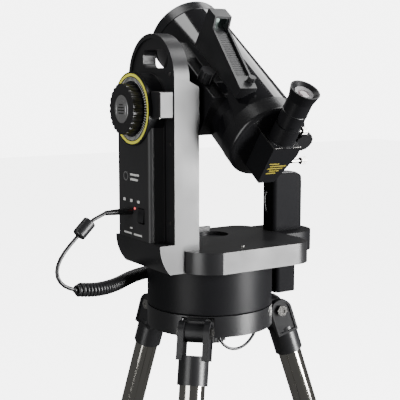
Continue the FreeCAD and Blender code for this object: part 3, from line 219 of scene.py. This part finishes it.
grain_rough = add_node(grain, "ShaderNodeMath", (
    (0, grain_swing.outputs[0]), (1, grain_in.outputs["Roughness Spread"]),
    (2, grain_in.outputs["Roughness"])), operation="MULTIPLY_ADD")
grain.links.new(grain_colour.outputs[MIX_RESULT], grain_out.inputs["Colour"])
grain.links.new(grain_rough.outputs[0], grain_out.inputs["Roughness"])
grain.links.new(grain_fine.outputs["Fac"], grain_out.inputs["Height"])


def finish_of(name, colour, lighter, rough, spread=0.12, grain_size=900.0, depth=0.00004, metal=0.0,
              coat=0.0, specular=0.5):
    """A surface finish: the moulded grain feeding one Principled shader."""
    material = bpy.data.materials.new(name)
    material.use_nodes = True
    tree = material.node_tree
    shader = tree.nodes["Principled BSDF"]
    group = add_node(tree, "ShaderNodeGroup", node_tree=grain)
    group.inputs["Colour"].default_value = (*colour, 1.0)
    group.inputs["Lighter"].default_value = (*lighter, 1.0)
    group.inputs["Grain Size"].default_value = grain_size
    group.inputs["Roughness"].default_value = rough
    group.inputs["Roughness Spread"].default_value = spread
    bump = add_node(tree, "ShaderNodeBump", (("Height", group.outputs["Height"]), ("Distance", depth),
                                             ("Strength", 0.6)))
    tree.links.new(group.outputs["Colour"], shader.inputs["Base Color"])
    tree.links.new(group.outputs["Roughness"], shader.inputs["Roughness"])
    tree.links.new(bump.outputs["Normal"], shader.inputs["Normal"])
    shader.inputs["Metallic"].default_value = metal
    shader.inputs["Coat Weight"].default_value = coat
    shader.inputs["Coat Roughness"].default_value = 0.06
    shader.inputs["Specular IOR Level"].default_value = specular
    return material


cord_jacket = finish_of("cord_jacket", (0.012, 0.012, 0.013), (0.03, 0.03, 0.032), 0.34, grain_size=1500.0)
hand_cord.data.materials.append(cord_jacket)
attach(hand_cord, "mount")
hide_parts("cord_lead", "coil_cord", "cord_tail")

# ---- cable under the head ----
# A thin round cable that hangs in a shallow loop between two points of the tripod head's underside.
TETHER_R = 2.0
TETHER_POINTS = ((-8.0, -32.0, -27.0), (-8.0, -33.0, -36.0), (-6.0, -34.5, -46.0), (0.0, -37.0, -54.0),
                 (10.0, -38.5, -59.0), (23.0, -37.5, -60.0), (37.0, -34.0, -57.0), (51.0, -28.0, -50.5),
                 (63.0, -21.0, -42.0), (71.0, -16.0, -34.0), (74.0, -14.0, -27.0))
tether_route = [at(*p) for p in TETHER_POINTS]
tether = spline_curve("head_tether", tether_route, TETHER_R * MM, 8)
tether.data.materials.append(cord_jacket)
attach(tether, "tripod")
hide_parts("tether_cable")
line_length(centreline(tether_route))


# ---- studio ----
# A plain pale floor and backdrop. A tall softbox stands to the right of the camera, one hangs overhead,
# a fill stands at the left, and two panels are there for their reflections on the tube.
def softbox(name, place, target, width, height, power):
    light = bpy.data.lights.new(name, "AREA")
    light.shape = "RECTANGLE"
    light.size = width
    light.size_y = height
    light.energy = power
    lamp = bpy.data.objects.new(name, light)
    bpy.context.scene.collection.objects.link(lamp)
    lamp.location = place
    lamp.rotation_euler = (Vector(target) - Vector(place)).to_track_quat("-Z", "Y").to_euler()
    return lamp


middle = at(0, 0, 120)
softbox("tall_softbox", middle + Vector((1.55, -2.2, 0.15)), middle, 1.0, 1.9, 250.0)
softbox("overhead_softbox", middle + Vector((-0.4, 0.9, 2.2)), middle, 1.6, 0.9, 24.0)
softbox("left_fill", middle + Vector((-2.5, -0.7, -0.1)), middle, 1.3, 3.0, 60.0)
side_panel = softbox("side_panel", middle + Vector((1.85, 0.55, 1.75)), middle, 1.8, 1.2, 26.0)
side_panel.visible_camera = False
softbox("top_panel", middle + Vector((1.4, -0.8, 2.05)), middle, 1.2, 0.9, 22.0)

world = bpy.data.worlds.new("studio")
bpy.context.scene.world = world
world.use_nodes = True
world_tree = world.node_tree
world_tree.nodes.clear()
WHITE = (1.0, 1.0, 1.0, 1.0)
backdrop = add_node(world_tree, "ShaderNodeBackground", (("Color", WHITE), ("Strength", 6.0)))
ambient = add_node(world_tree, "ShaderNodeBackground", (("Color", WHITE), ("Strength", 0.1)))
seen = add_node(world_tree, "ShaderNodeLightPath").outputs["Is Camera Ray"]
world_mix = add_node(world_tree, "ShaderNodeMixShader", (
    (0, seen), (1, ambient.outputs[0]), (2, backdrop.outputs[0])))
add_node(world_tree, "ShaderNodeOutputWorld", ((0, world_mix.outputs[0]),))

floor_mesh = bpy.data.meshes.new("floor")
FLOOR_HALF = 9
floor_corners = [(x * FLOOR_HALF, y * FLOOR_HALF, 0) for x, y in ((-1, -1), (1, -1), (1, 1), (-1, 1))]
floor_mesh.from_pydata(floor_corners, [], [(0, 1, 2, 3)])
floor = bpy.data.objects.new("floor", floor_mesh)
bpy.context.scene.collection.objects.link(floor)
floor_paint = finish_of("pale_floor", (0.88, 0.88, 0.88), (0.92, 0.92, 0.92), 0.7, depth=0.0)
floor_shader = floor_paint.node_tree.nodes["Principled BSDF"]
floor_shader.inputs["Emission Color"].default_value = WHITE
floor_shader.inputs["Emission Strength"].default_value = 5.0
floor.data.materials.append(floor_paint)
floor.visible_glossy = False
floor.visible_diffuse = False

# ---- finishes of the castings and tubes ----
# Satin moulded plastic for the mount, gloss paint on the tube, anodised cells, polished steel legs.
satin_black = finish_of("satin_black", (0.014, 0.014, 0.015), (0.04, 0.04, 0.042), 0.33, 0.25, 1400.0)
matte_black = finish_of("matte_black", (0.008, 0.008, 0.009), (0.022, 0.022, 0.024), 0.42, 0.12, 1500.0,
                        specular=0.16)
hand_black = finish_of("hand_black", (0.006, 0.006, 0.007), (0.015, 0.015, 0.016), 0.55, 0.1, 1500.0,
                       specular=0.04)
panel_black = finish_of("panel_black", (0.022, 0.022, 0.023), (0.05, 0.05, 0.052), 0.48, 0.1, 1800.0)
gloss_black = finish_of("gloss_black", (0.006, 0.006, 0.007), (0.012, 0.012, 0.013), 0.09, 0.06, 60.0,
                        depth=0.00001, coat=0.6)
cell_black = finish_of("cell_black", (0.01, 0.01, 0.011), (0.03, 0.03, 0.03), 0.26, 0.1, 700.0)
leg_steel = finish_of("leg_steel", (0.62, 0.6, 0.55), (0.7, 0.68, 0.62), 0.12, 0.08, 200.0,
                      depth=0.00001, metal=1.0)
bright_metal = finish_of("bright_metal", (0.5, 0.49, 0.47), (0.6, 0.58, 0.56), 0.24, 0.1, 300.0, metal=1.0)
soft_black = finish_of("soft_black", (0.012, 0.012, 0.012), (0.03, 0.03, 0.03), 0.6, 0.1, 1100.0,
                       depth=0.0001)
gear_brass = finish_of("gear_brass", (0.55, 0.38, 0.16), (0.6, 0.45, 0.22), 0.3, 0.1, 500.0, metal=1.0)
key_grey = finish_of("key_grey", (0.16, 0.16, 0.17), (0.22, 0.22, 0.23), 0.55, 0.08, 1300.0)
mirror_coat = finish_of("mirror_coat", (0.9, 0.9, 0.92), (0.92, 0.92, 0.93), 0.03, 0.01, 200.0,
                        depth=0.0, metal=1.0)


def glass_of(name, tint, rough):
    material = finish_of(name, tint, tint, rough, 0.02, 100.0, depth=0.0)
    shader = material.node_tree.nodes["Principled BSDF"]
    shader.inputs["Transmission Weight"].default_value = 1.0
    shader.inputs["IOR"].default_value = 1.5
    return material


coated_glass = glass_of("coated_glass", (0.7, 0.9, 0.82), 0.02)
FINISHES = {
    "black_plastic": satin_black, "gloss_black": gloss_black, "cell_black": cell_black,
    "leg_steel": leg_steel, "bright_metal": bright_metal, "gear_brass": gear_brass,
    "soft_black": soft_black, "cord_black": cord_jacket, "optical_glass": coated_glass,
    "mirror_coat": mirror_coat, "key_grey": key_grey}
OWN_FINISH = {"control_panel": panel_black, "gearbox_boss": matte_black, "drum_housing": matte_black,
              "eyepiece": matte_black, "mirror_box": matte_black, "handset_shell": hand_black,
              "handset_holder": matte_black}
slot_of = {row["node"]: row["material_slot"] for row in frame["record"]["subparts"]}
for node, piece in frame["nodes"].items():
    finish = OWN_FINISH.get(node, FINISHES[slot_of[node]])
    piece.data.materials.clear()
    piece.data.materials.append(finish)


# ---- altitude dial ----
# The setting circle behind the lock knob: a yellow printed rim with a ring of fine white ticks inside it,
# both printed on the black moulded dial, so they turn with the tube.
ALTITUDE_Z = 258.0
DIAL_FACE = -116.6
RIM_INNER, RIM_OUTER = 40.0, 43.4
PRINT_T = 0.25
TICKS = 72
TICK_R, TICK_LONG, TICK_WIDE = 36.6, 4.6, 0.7


def on_left_face(x):
    """The frame of a round face that looks left, centred on the altitude axis."""
    return ON_MOUNT @ Matrix.Translation((x, 0, ALTITUDE_Z)) @ Matrix.Rotation(math.radians(-90), 4, "Y")


ON_DIAL = on_left_face(DIAL_FACE)


def add_piece(name, mesh, body, finish):
    mesh.materials.clear()
    mesh.materials.append(finish)
    piece = bpy.data.objects.new(name, mesh)
    bpy.context.scene.collection.objects.link(piece)
    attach(piece, body)
    return piece


def closed_mesh(name, bm, place):
    """The bmesh as a mesh in the shared frame, with its normals outward."""
    bmesh.ops.remove_doubles(bm, verts=bm.verts, dist=0.001)
    bm.transform(place)
    bmesh.ops.recalc_face_normals(bm, faces=bm.faces)
    mesh = bpy.data.meshes.new(name)
    bm.to_mesh(mesh)
    bm.free()
    return mesh


def lathe(bm, profile, segments=72):
    """Turns a closed outline of (radius, height) pairs round the local Z axis."""
    rings = []
    for i in range(segments):
        angle = 2 * math.pi * i / segments
        rings.append([bm.verts.new((r * math.cos(angle), r * math.sin(angle), h)) for r, h in profile])
    for i in range(segments):
        here, after = rings[i], rings[(i + 1) % segments]
        for k in range(len(profile)):
            n = (k + 1) % len(profile)
            corners = [here[k], after[k], after[n], here[n]]
            if profile[k][0] == 0 and profile[n][0] == 0:
                continue
            if profile[k][0] == 0:
                corners = [here[k], after[n], here[n]]
            elif profile[n][0] == 0:
                corners = [here[k], after[k], here[n]]
            bm.faces.new(corners)


def slab(bm, low, high, bevel):
    """A block between two corners with its edges eased."""
    size = [b - a for a, b in zip(low, high)]
    centre = [(a + b) / 2 for a, b in zip(low, high)]
    place = Matrix.Translation(centre) @ Matrix.Diagonal((*size, 1.0))
    made = bmesh.ops.create_cube(bm, size=1.0, matrix=place)
    sides = list({edge for vert in made["verts"] for edge in vert.link_edges})
    bmesh.ops.bevel(bm, geom=sides, offset=bevel, segments=2, affect="EDGES", profile=0.5)


def tree_socket(tree, name, kind, value=None, way="INPUT"):
    socket = tree.interface.new_socket(name, in_out=way, socket_type=kind)
    if value is not None:
        socket.default_value = value
    return socket.identifier


# Marks round a ring: one small block repeated at even angles.
ring_marks = bpy.data.node_groups.new("ring_marks", "GeometryNodeTree")
RING_IDS = {name: tree_socket(ring_marks, name, kind, value) for name, kind, value in (
    ("Count", "NodeSocketInt", 12), ("Radius", "NodeSocketFloat", 10.0),
    ("Size", "NodeSocketVector", (1, 1, 1)), ("Finish", "NodeSocketMaterial", None))}
tree_socket(ring_marks, "Geometry", "NodeSocketGeometry", way="OUTPUT")
ring_in = ring_marks.nodes.new("NodeGroupInput").outputs
ring_circle = add_node(ring_marks, "GeometryNodeMeshCircle", (("Vertices", ring_in["Count"]),
                                                              ("Radius", ring_in["Radius"])))
ring_place = ring_marks.nodes.new("GeometryNodeInputPosition")
ring_turn = add_node(ring_marks, "FunctionNodeAlignRotationToVector", (("Vector", ring_place.outputs[0]),),
                     axis="X")
ring_block = add_node(ring_marks, "GeometryNodeMeshCube", (("Size", ring_in["Size"]),))
ring_copies = add_node(ring_marks, "GeometryNodeInstanceOnPoints", (
    ("Points", ring_circle.outputs["Mesh"]), ("Instance", ring_block.outputs["Mesh"]),
    ("Rotation", ring_turn.outputs["Rotation"])))
ring_real = add_node(ring_marks, "GeometryNodeRealizeInstances", (("Geometry", ring_copies.outputs[0]),))
ring_paint = add_node(ring_marks, "GeometryNodeSetMaterial", (("Geometry", ring_real.outputs[0]),
                                                              ("Material", ring_in["Finish"])))
ring_out = ring_marks.nodes.new("NodeGroupOutput")
ring_marks.links.new(ring_paint.outputs[0], ring_out.inputs[0])


def grown(name, tree, ids, place, **values):
    """Runs a repeat tree once and returns the result as a plain mesh in the shared frame."""
    seed_mesh = bpy.data.meshes.new(name)
    seed_piece = bpy.data.objects.new(name, seed_mesh)
    bpy.context.scene.collection.objects.link(seed_piece)
    modifier = seed_piece.modifiers.new("repeat", "NODES")
    modifier.node_group = tree
    for key, value in values.items():
        modifier[ids[key.replace("_", " ")]] = value
    bpy.context.view_layer.update()
    made = bpy.data.meshes.new_from_object(seed_piece.evaluated_get(bpy.context.evaluated_depsgraph_get()))
    seed_piece.modifiers.clear()
    bpy.data.objects.remove(seed_piece)
    made.transform(place)
    return made


yellow_ink = finish_of("yellow_ink", (0.95, 0.91, 0.10), (0.97, 0.93, 0.2), 0.28)
white_ink = finish_of("white_ink", (0.7, 0.7, 0.68), (0.8, 0.8, 0.78), 0.5)
rim = bmesh.new()
lathe(rim, [(RIM_INNER, -PRINT_T), (RIM_OUTER, -PRINT_T), (RIM_OUTER, PRINT_T), (RIM_INNER, PRINT_T)])
add_piece("dial_rim", closed_mesh("dial_rim", rim, ON_DIAL), "altitude", yellow_ink)
ticks = grown("dial_ticks", ring_marks, RING_IDS, ON_DIAL, Count=TICKS, Radius=TICK_R,
              Size=(TICK_LONG, TICK_WIDE, 2 * PRINT_T), Finish=white_ink)
add_piece("dial_ticks", ticks, "altitude", white_ink)

# ---- lock knob badge ----
# A metal disc let into the knob's face, with a plain ring cut into it and a few raised bars.
BADGE_R, BADGE_FACE = 17.2, -130.2
BADGE_RING_R = 12.0
BADGE_BARS = ((-5.0, 6.0), (-1.5, 8.0), (2.0, 7.0), (5.5, 4.5))        # height, half width
ON_KNOB = on_left_face(BADGE_FACE)
badge_metal = finish_of("badge_metal", (0.42, 0.42, 0.42), (0.5, 0.5, 0.5), 0.3, grain_size=600.0, metal=0.8)
badge = bmesh.new()
lathe(badge, [(0, -0.7), (BADGE_R, -0.7), (BADGE_R, 0.0), (BADGE_R - 0.5, 0.3), (BADGE_RING_R + 1.0, 0.3),
              (BADGE_RING_R + 0.7, 0.1), (BADGE_RING_R - 0.7, 0.1), (BADGE_RING_R - 1.0, 0.3), (0, 0.3)])
add_piece("knob_badge", closed_mesh("knob_badge", badge, ON_KNOB), "lock", badge_metal)
bars = bmesh.new()
for height, half in BADGE_BARS:
    slab(bars, (height - 0.8, -half, 0.1), (height + 0.8, half, 0.7), 0.2)
add_piece("badge_bars", closed_mesh("badge_bars", bars, ON_KNOB), "lock", soft_black)

# ---- control panel marks ----
# White captions as plain dashes, a plain grey ring beside the upper pair, and a red power light.
PANEL_FACE = -113.0
ON_PANEL = (ON_MOUNT @ Matrix.Translation((PANEL_FACE, 0, 0)) @ Matrix.Rotation(math.radians(-90), 4, "Z")
            @ Matrix.Rotation(math.radians(90), 4, "X"))
# Each dash: its left and right ends, measured from the mount's axis towards the front, its height and
# how tall it is.
PANEL_DASHES = ((29, 23, 143, 3.6), (11, 5, 143, 3.6), (-7, -13, 143, 3.6), (12, 6, 108, 2.0),
                (28, 8, 101, 2.2), (2, -18, 101, 2.2), (10, -12, 176, 2.6), (10, -9, 170, 2.6))
RING_INNER, RING_OUTER, RING_PLACE = 4.4, 6.0, (-22, 173, 0)
LIGHT_R, LIGHT_PLACE = 1.5, (1, 134, 0)
marks = bmesh.new()
for left, right, height, tall in PANEL_DASHES:
    slab(marks, (-left, height - tall / 2, -PRINT_T), (-right, height + tall / 2, PRINT_T), 0.15)
add_piece("panel_dashes", closed_mesh("panel_dashes", marks, ON_PANEL), "mount", white_ink)
ring = bmesh.new()
lathe(ring, [(RING_INNER, -PRINT_T), (RING_OUTER, -PRINT_T), (RING_OUTER, PRINT_T), (RING_INNER, PRINT_T)],
      48)
add_piece("panel_ring", closed_mesh("panel_ring", ring, ON_PANEL @ Matrix.Translation(RING_PLACE)), "mount",
          badge_metal)
red_lens = finish_of("red_lens", (0.5, 0.02, 0.02), (0.6, 0.05, 0.05), 0.15)
red_shader = red_lens.node_tree.nodes["Principled BSDF"]
red_shader.inputs["Emission Color"].default_value = (1.0, 0.12, 0.12, 1.0)
red_shader.inputs["Emission Strength"].default_value = 1.5
light = bmesh.new()
lathe(light, [(0, -0.4), (LIGHT_R, -0.4), (LIGHT_R, 0.4), (0.9, 1.0), (0, 1.2)], 24)
add_piece("power_light", closed_mesh("power_light", light, ON_PANEL @ Matrix.Translation(LIGHT_PLACE)),
          "mount", red_lens)

# ---- label on the mirror box ----
# Short rows of dull yellow print on the rear face, as plain dashes.
TUBE_TILT = math.radians(36)
TUBE_X, TUBE_RISE = 14.0, 31.0
ON_TUBE = (ON_MOUNT @ Matrix.Translation((TUBE_X, 0, ALTITUDE_Z)) @ Matrix.Rotation(TUBE_TILT, 4, "X")
           @ Matrix.Translation((0, 0, TUBE_RISE)))
BOX_REAR = -144.0
ON_BOX = ON_TUBE @ Matrix.Translation((0, BOX_REAR, 0)) @ Matrix.Rotation(math.radians(90), 4, "X")
dull_yellow = finish_of("dull_yellow_ink", (0.30, 0.24, 0.02), (0.36, 0.3, 0.05), 0.5)
LABEL_ROWS = ((-16, -2), (-14, 10), (-16, 6), (-12, 2), (-15, -1))        # left and right ends
LABEL_TOP, ROW_STEP = -5.0, 3.6
label = bmesh.new()
for row, (left, right) in enumerate(LABEL_ROWS):
    top = LABEL_TOP - row * ROW_STEP
    slab(label, (left, top - 1.5, -0.1), (right, top, 0.25), 0.1)
add_piece("box_label", closed_mesh("box_label", label, ON_BOX), "altitude", dull_yellow)

# ---- mirror box edges ----
# The folded box shows bare metal along its top edges and a turned lip round the eyepiece collar.
BOX_HALF, BOX_TOP, BOX_FRONT, EYE_ALONG = 20.5, 19.0, -112.4, -128.2
edges = bmesh.new()
slab(edges, (-BOX_HALF, BOX_REAR - 0.25, BOX_TOP - 0.7), (BOX_HALF, BOX_REAR + 0.5, BOX_TOP + 0.25), 0.2)
slab(edges, (-BOX_HALF - 0.25, BOX_REAR, BOX_TOP - 0.7), (-BOX_HALF + 0.5, BOX_FRONT, BOX_TOP + 0.25), 0.2)
add_piece("box_edges", closed_mesh("box_edges", edges, ON_TUBE), "altitude", bright_metal)
ON_EYE = ON_TUBE @ Matrix.Translation((0, EYE_ALONG, 0))
lip = bmesh.new()
LIP_BORE = 15.9
lathe(lip, [(LIP_BORE, BOX_TOP), (18.0, BOX_TOP), (17.8, BOX_TOP + 1.0), (17.2, BOX_TOP + 1.4),
            (LIP_BORE, BOX_TOP + 1.4)])
add_piece("collar_lip", closed_mesh("collar_lip", lip, ON_EYE), "altitude", cell_black)

# ---- eyepiece glass and bands ----
# A pale bezel holds the coated eye lens at the bottom of the rubber cup. A fine turned band marks the body.
CUP_FLOOR, GLASS_R = 86.4, 7.4
pale_bezel = finish_of("pale_bezel", (0.2, 0.195, 0.2), (0.27, 0.26, 0.27), 0.5, grain_size=700.0)
lens_pink = finish_of("lens_pink", (0.16, 0.12, 0.13), (0.24, 0.2, 0.2), 0.08, grain_size=50.0, coat=1.0)
bezel = bmesh.new()
lathe(bezel, [(GLASS_R, CUP_FLOOR), (9.4, CUP_FLOOR), (11.6, CUP_FLOOR + 2.2), (11.4, CUP_FLOOR + 2.5),
              (GLASS_R, CUP_FLOOR + 0.9)])
add_piece("eye_bezel", closed_mesh("eye_bezel", bezel, ON_EYE), "ocular", pale_bezel)
glass = bmesh.new()
lathe(glass, [(0, CUP_FLOOR), (GLASS_R, CUP_FLOOR), (GLASS_R, CUP_FLOOR + 0.5), (4.5, CUP_FLOOR + 1.0),
              (0, CUP_FLOOR + 1.2)])
add_piece("eye_glass", closed_mesh("eye_glass", glass, ON_EYE), "ocular", lens_pink)
bands = bmesh.new()
BAND_Z, BAND_T, BAND_BORE = 61.0, 0.8, 14.9
lathe(bands, [(BAND_BORE, BAND_Z), (15.2, BAND_Z), (15.6, BAND_Z + 0.4), (15.2, BAND_Z + BAND_T),
              (BAND_BORE, BAND_Z + BAND_T)])
add_piece("eye_bands", closed_mesh("eye_bands", bands, ON_EYE), "ocular", satin_black)

# ---- finder ribs ----
# Fine moulded ribs across the floor of the finder's sighting channel.
row_marks = bpy.data.node_groups.new("row_marks", "GeometryNodeTree")
ROW_IDS = {name: tree_socket(row_marks, name, kind, value) for name, kind, value in (
    ("Count", "NodeSocketInt", 12), ("Step", "NodeSocketVector", (0, 1, 0)),
    ("Size", "NodeSocketVector", (1, 1, 1)), ("Finish", "NodeSocketMaterial", None))}
tree_socket(row_marks, "Geometry", "NodeSocketGeometry", way="OUTPUT")
row_in = row_marks.nodes.new("NodeGroupInput").outputs
row_line = add_node(row_marks, "GeometryNodeMeshLine", (("Count", row_in["Count"]),
                                                        ("Offset", row_in["Step"])))
row_block = add_node(row_marks, "GeometryNodeMeshCube", (("Size", row_in["Size"]),))
row_copies = add_node(row_marks, "GeometryNodeInstanceOnPoints", (
    ("Points", row_line.outputs["Mesh"]), ("Instance", row_block.outputs["Mesh"])))
row_real = add_node(row_marks, "GeometryNodeRealizeInstances", (("Geometry", row_copies.outputs[0]),))
row_paint = add_node(row_marks, "GeometryNodeSetMaterial", (("Geometry", row_real.outputs[0]),
                                                            ("Material", row_in["Finish"])))
row_out = row_marks.nodes.new("NodeGroupOutput")
row_marks.links.new(row_paint.outputs[0], row_out.inputs[0])
FINDER_X, FINDER_SLOPE = -30.0, math.radians(15)
CHANNEL_START, CHANNEL_FLOOR, CHANNEL_W = -54.0, 53.8, 19.0
RIBS, RIB_STEP, RIB_WIDE, RIB_TALL = 24, 2.9, 1.3, 0.9
ON_FINDER = (ON_TUBE @ Matrix.Translation((FINDER_X, CHANNEL_START, CHANNEL_FLOOR))
             @ Matrix.Rotation(FINDER_SLOPE, 4, "X") @ Matrix.Translation((0, 2.0, 0.2)))
ribs = grown("finder_ribs", row_marks, ROW_IDS, ON_FINDER, Count=RIBS, Step=(0, RIB_STEP, 0),
             Size=(CHANNEL_W, RIB_WIDE, RIB_TALL), Finish=satin_black)
add_piece("finder_ribs", ribs, "altitude", satin_black)

# ---- block behind the dial ----
# A plain moulded block that fills the arm's side between the dial's boss and the rear edge.
BLOCK_LOW, BLOCK_HIGH = (-112.0, -62.0, 248.0), (-92.0, -41.0, 280.0)
LINE_HEIGHTS, LINE_HALF = (248.6, 279.4), 0.6
block = bmesh.new()
slab(block, BLOCK_LOW, BLOCK_HIGH, 1.2)
add_piece("boss_block", closed_mesh("boss_block", block, ON_MOUNT), "mount", satin_black)
lines = bmesh.new()
for height in LINE_HEIGHTS:
    slab(lines, (-112.4, -62.4, height - LINE_HALF), (-111.6, -40.0, height + LINE_HALF), 0.25)
add_piece("boss_block_edges", closed_mesh("boss_block_edges", lines, ON_MOUNT), "mount",
          bright_metal)

# ---- hand control painted highlight and belt loop ----
# A grey band over the black shell is painted highlight, where the top and the outer, lit side catch the
# light; a wire belt loop stands off the inner side.
HAND_LEFT, HAND_RIGHT, HAND_TOP, HAND_SHELF = 100.0, 152.0, 165.0, 86.5
HAND_BACK, HAND_FRONT, SHOULDER_R = -8.0, 20.0, 14.0
SHEEN_BAND_T, SHEEN_BAND_SUNK = 1.6, 0.6
# painted highlight: this grey stands in for the light caught along the handset's top and outer side
painted_sheen_grey = finish_of("painted_sheen_grey", (0.075, 0.075, 0.078), (0.12, 0.12, 0.125), 0.5, grain_size=800.0)
path = [((HAND_LEFT + 8, HAND_TOP), (0, 1))]
for step in range(0, 91, 10):
    turn = math.radians(90 - step)
    away = (math.cos(turn), math.sin(turn))
    corner = (HAND_RIGHT - SHOULDER_R + SHOULDER_R * away[0], HAND_TOP - SHOULDER_R + SHOULDER_R * away[1])
    path.append((corner, away))
path.append(((HAND_RIGHT, HAND_SHELF), (1, 0)))
SHEEN_BAND_OUTLINE = ((-SHEEN_BAND_SUNK, HAND_BACK + 5), (SHEEN_BAND_T, HAND_BACK + 6), (SHEEN_BAND_T, HAND_FRONT - 6),
                  (-SHEEN_BAND_SUNK, HAND_FRONT - 5))
sheen_band = bmesh.new()
rings = []
for (x, z), (ax, az) in path:
    rings.append([sheen_band.verts.new((x + ax * off, y, z + az * off)) for off, y in SHEEN_BAND_OUTLINE])
for here, after in zip(rings, rings[1:]):
    for k in range(4):
        sheen_band.faces.new((here[k], after[k], after[(k + 1) % 4], here[(k + 1) % 4]))
sheen_band.faces.new(rings[0])
sheen_band.faces.new(rings[-1])
add_piece("hand_painted_sheen", closed_mesh("hand_painted_sheen", sheen_band, ON_MOUNT), "mount", painted_sheen_grey)
LOOP_POINTS = ((101, 4, 140), (96, 4, 140), (93.5, 4, 134), (94, 4, 122), (97, 4, 112), (101, 4, 108))
LOOP_R = 1.1
loop = spline_curve("belt_loop", [at(*p) for p in LOOP_POINTS], LOOP_R * MM, 8)
loop.data.materials.append(satin_black)
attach(loop, "mount")
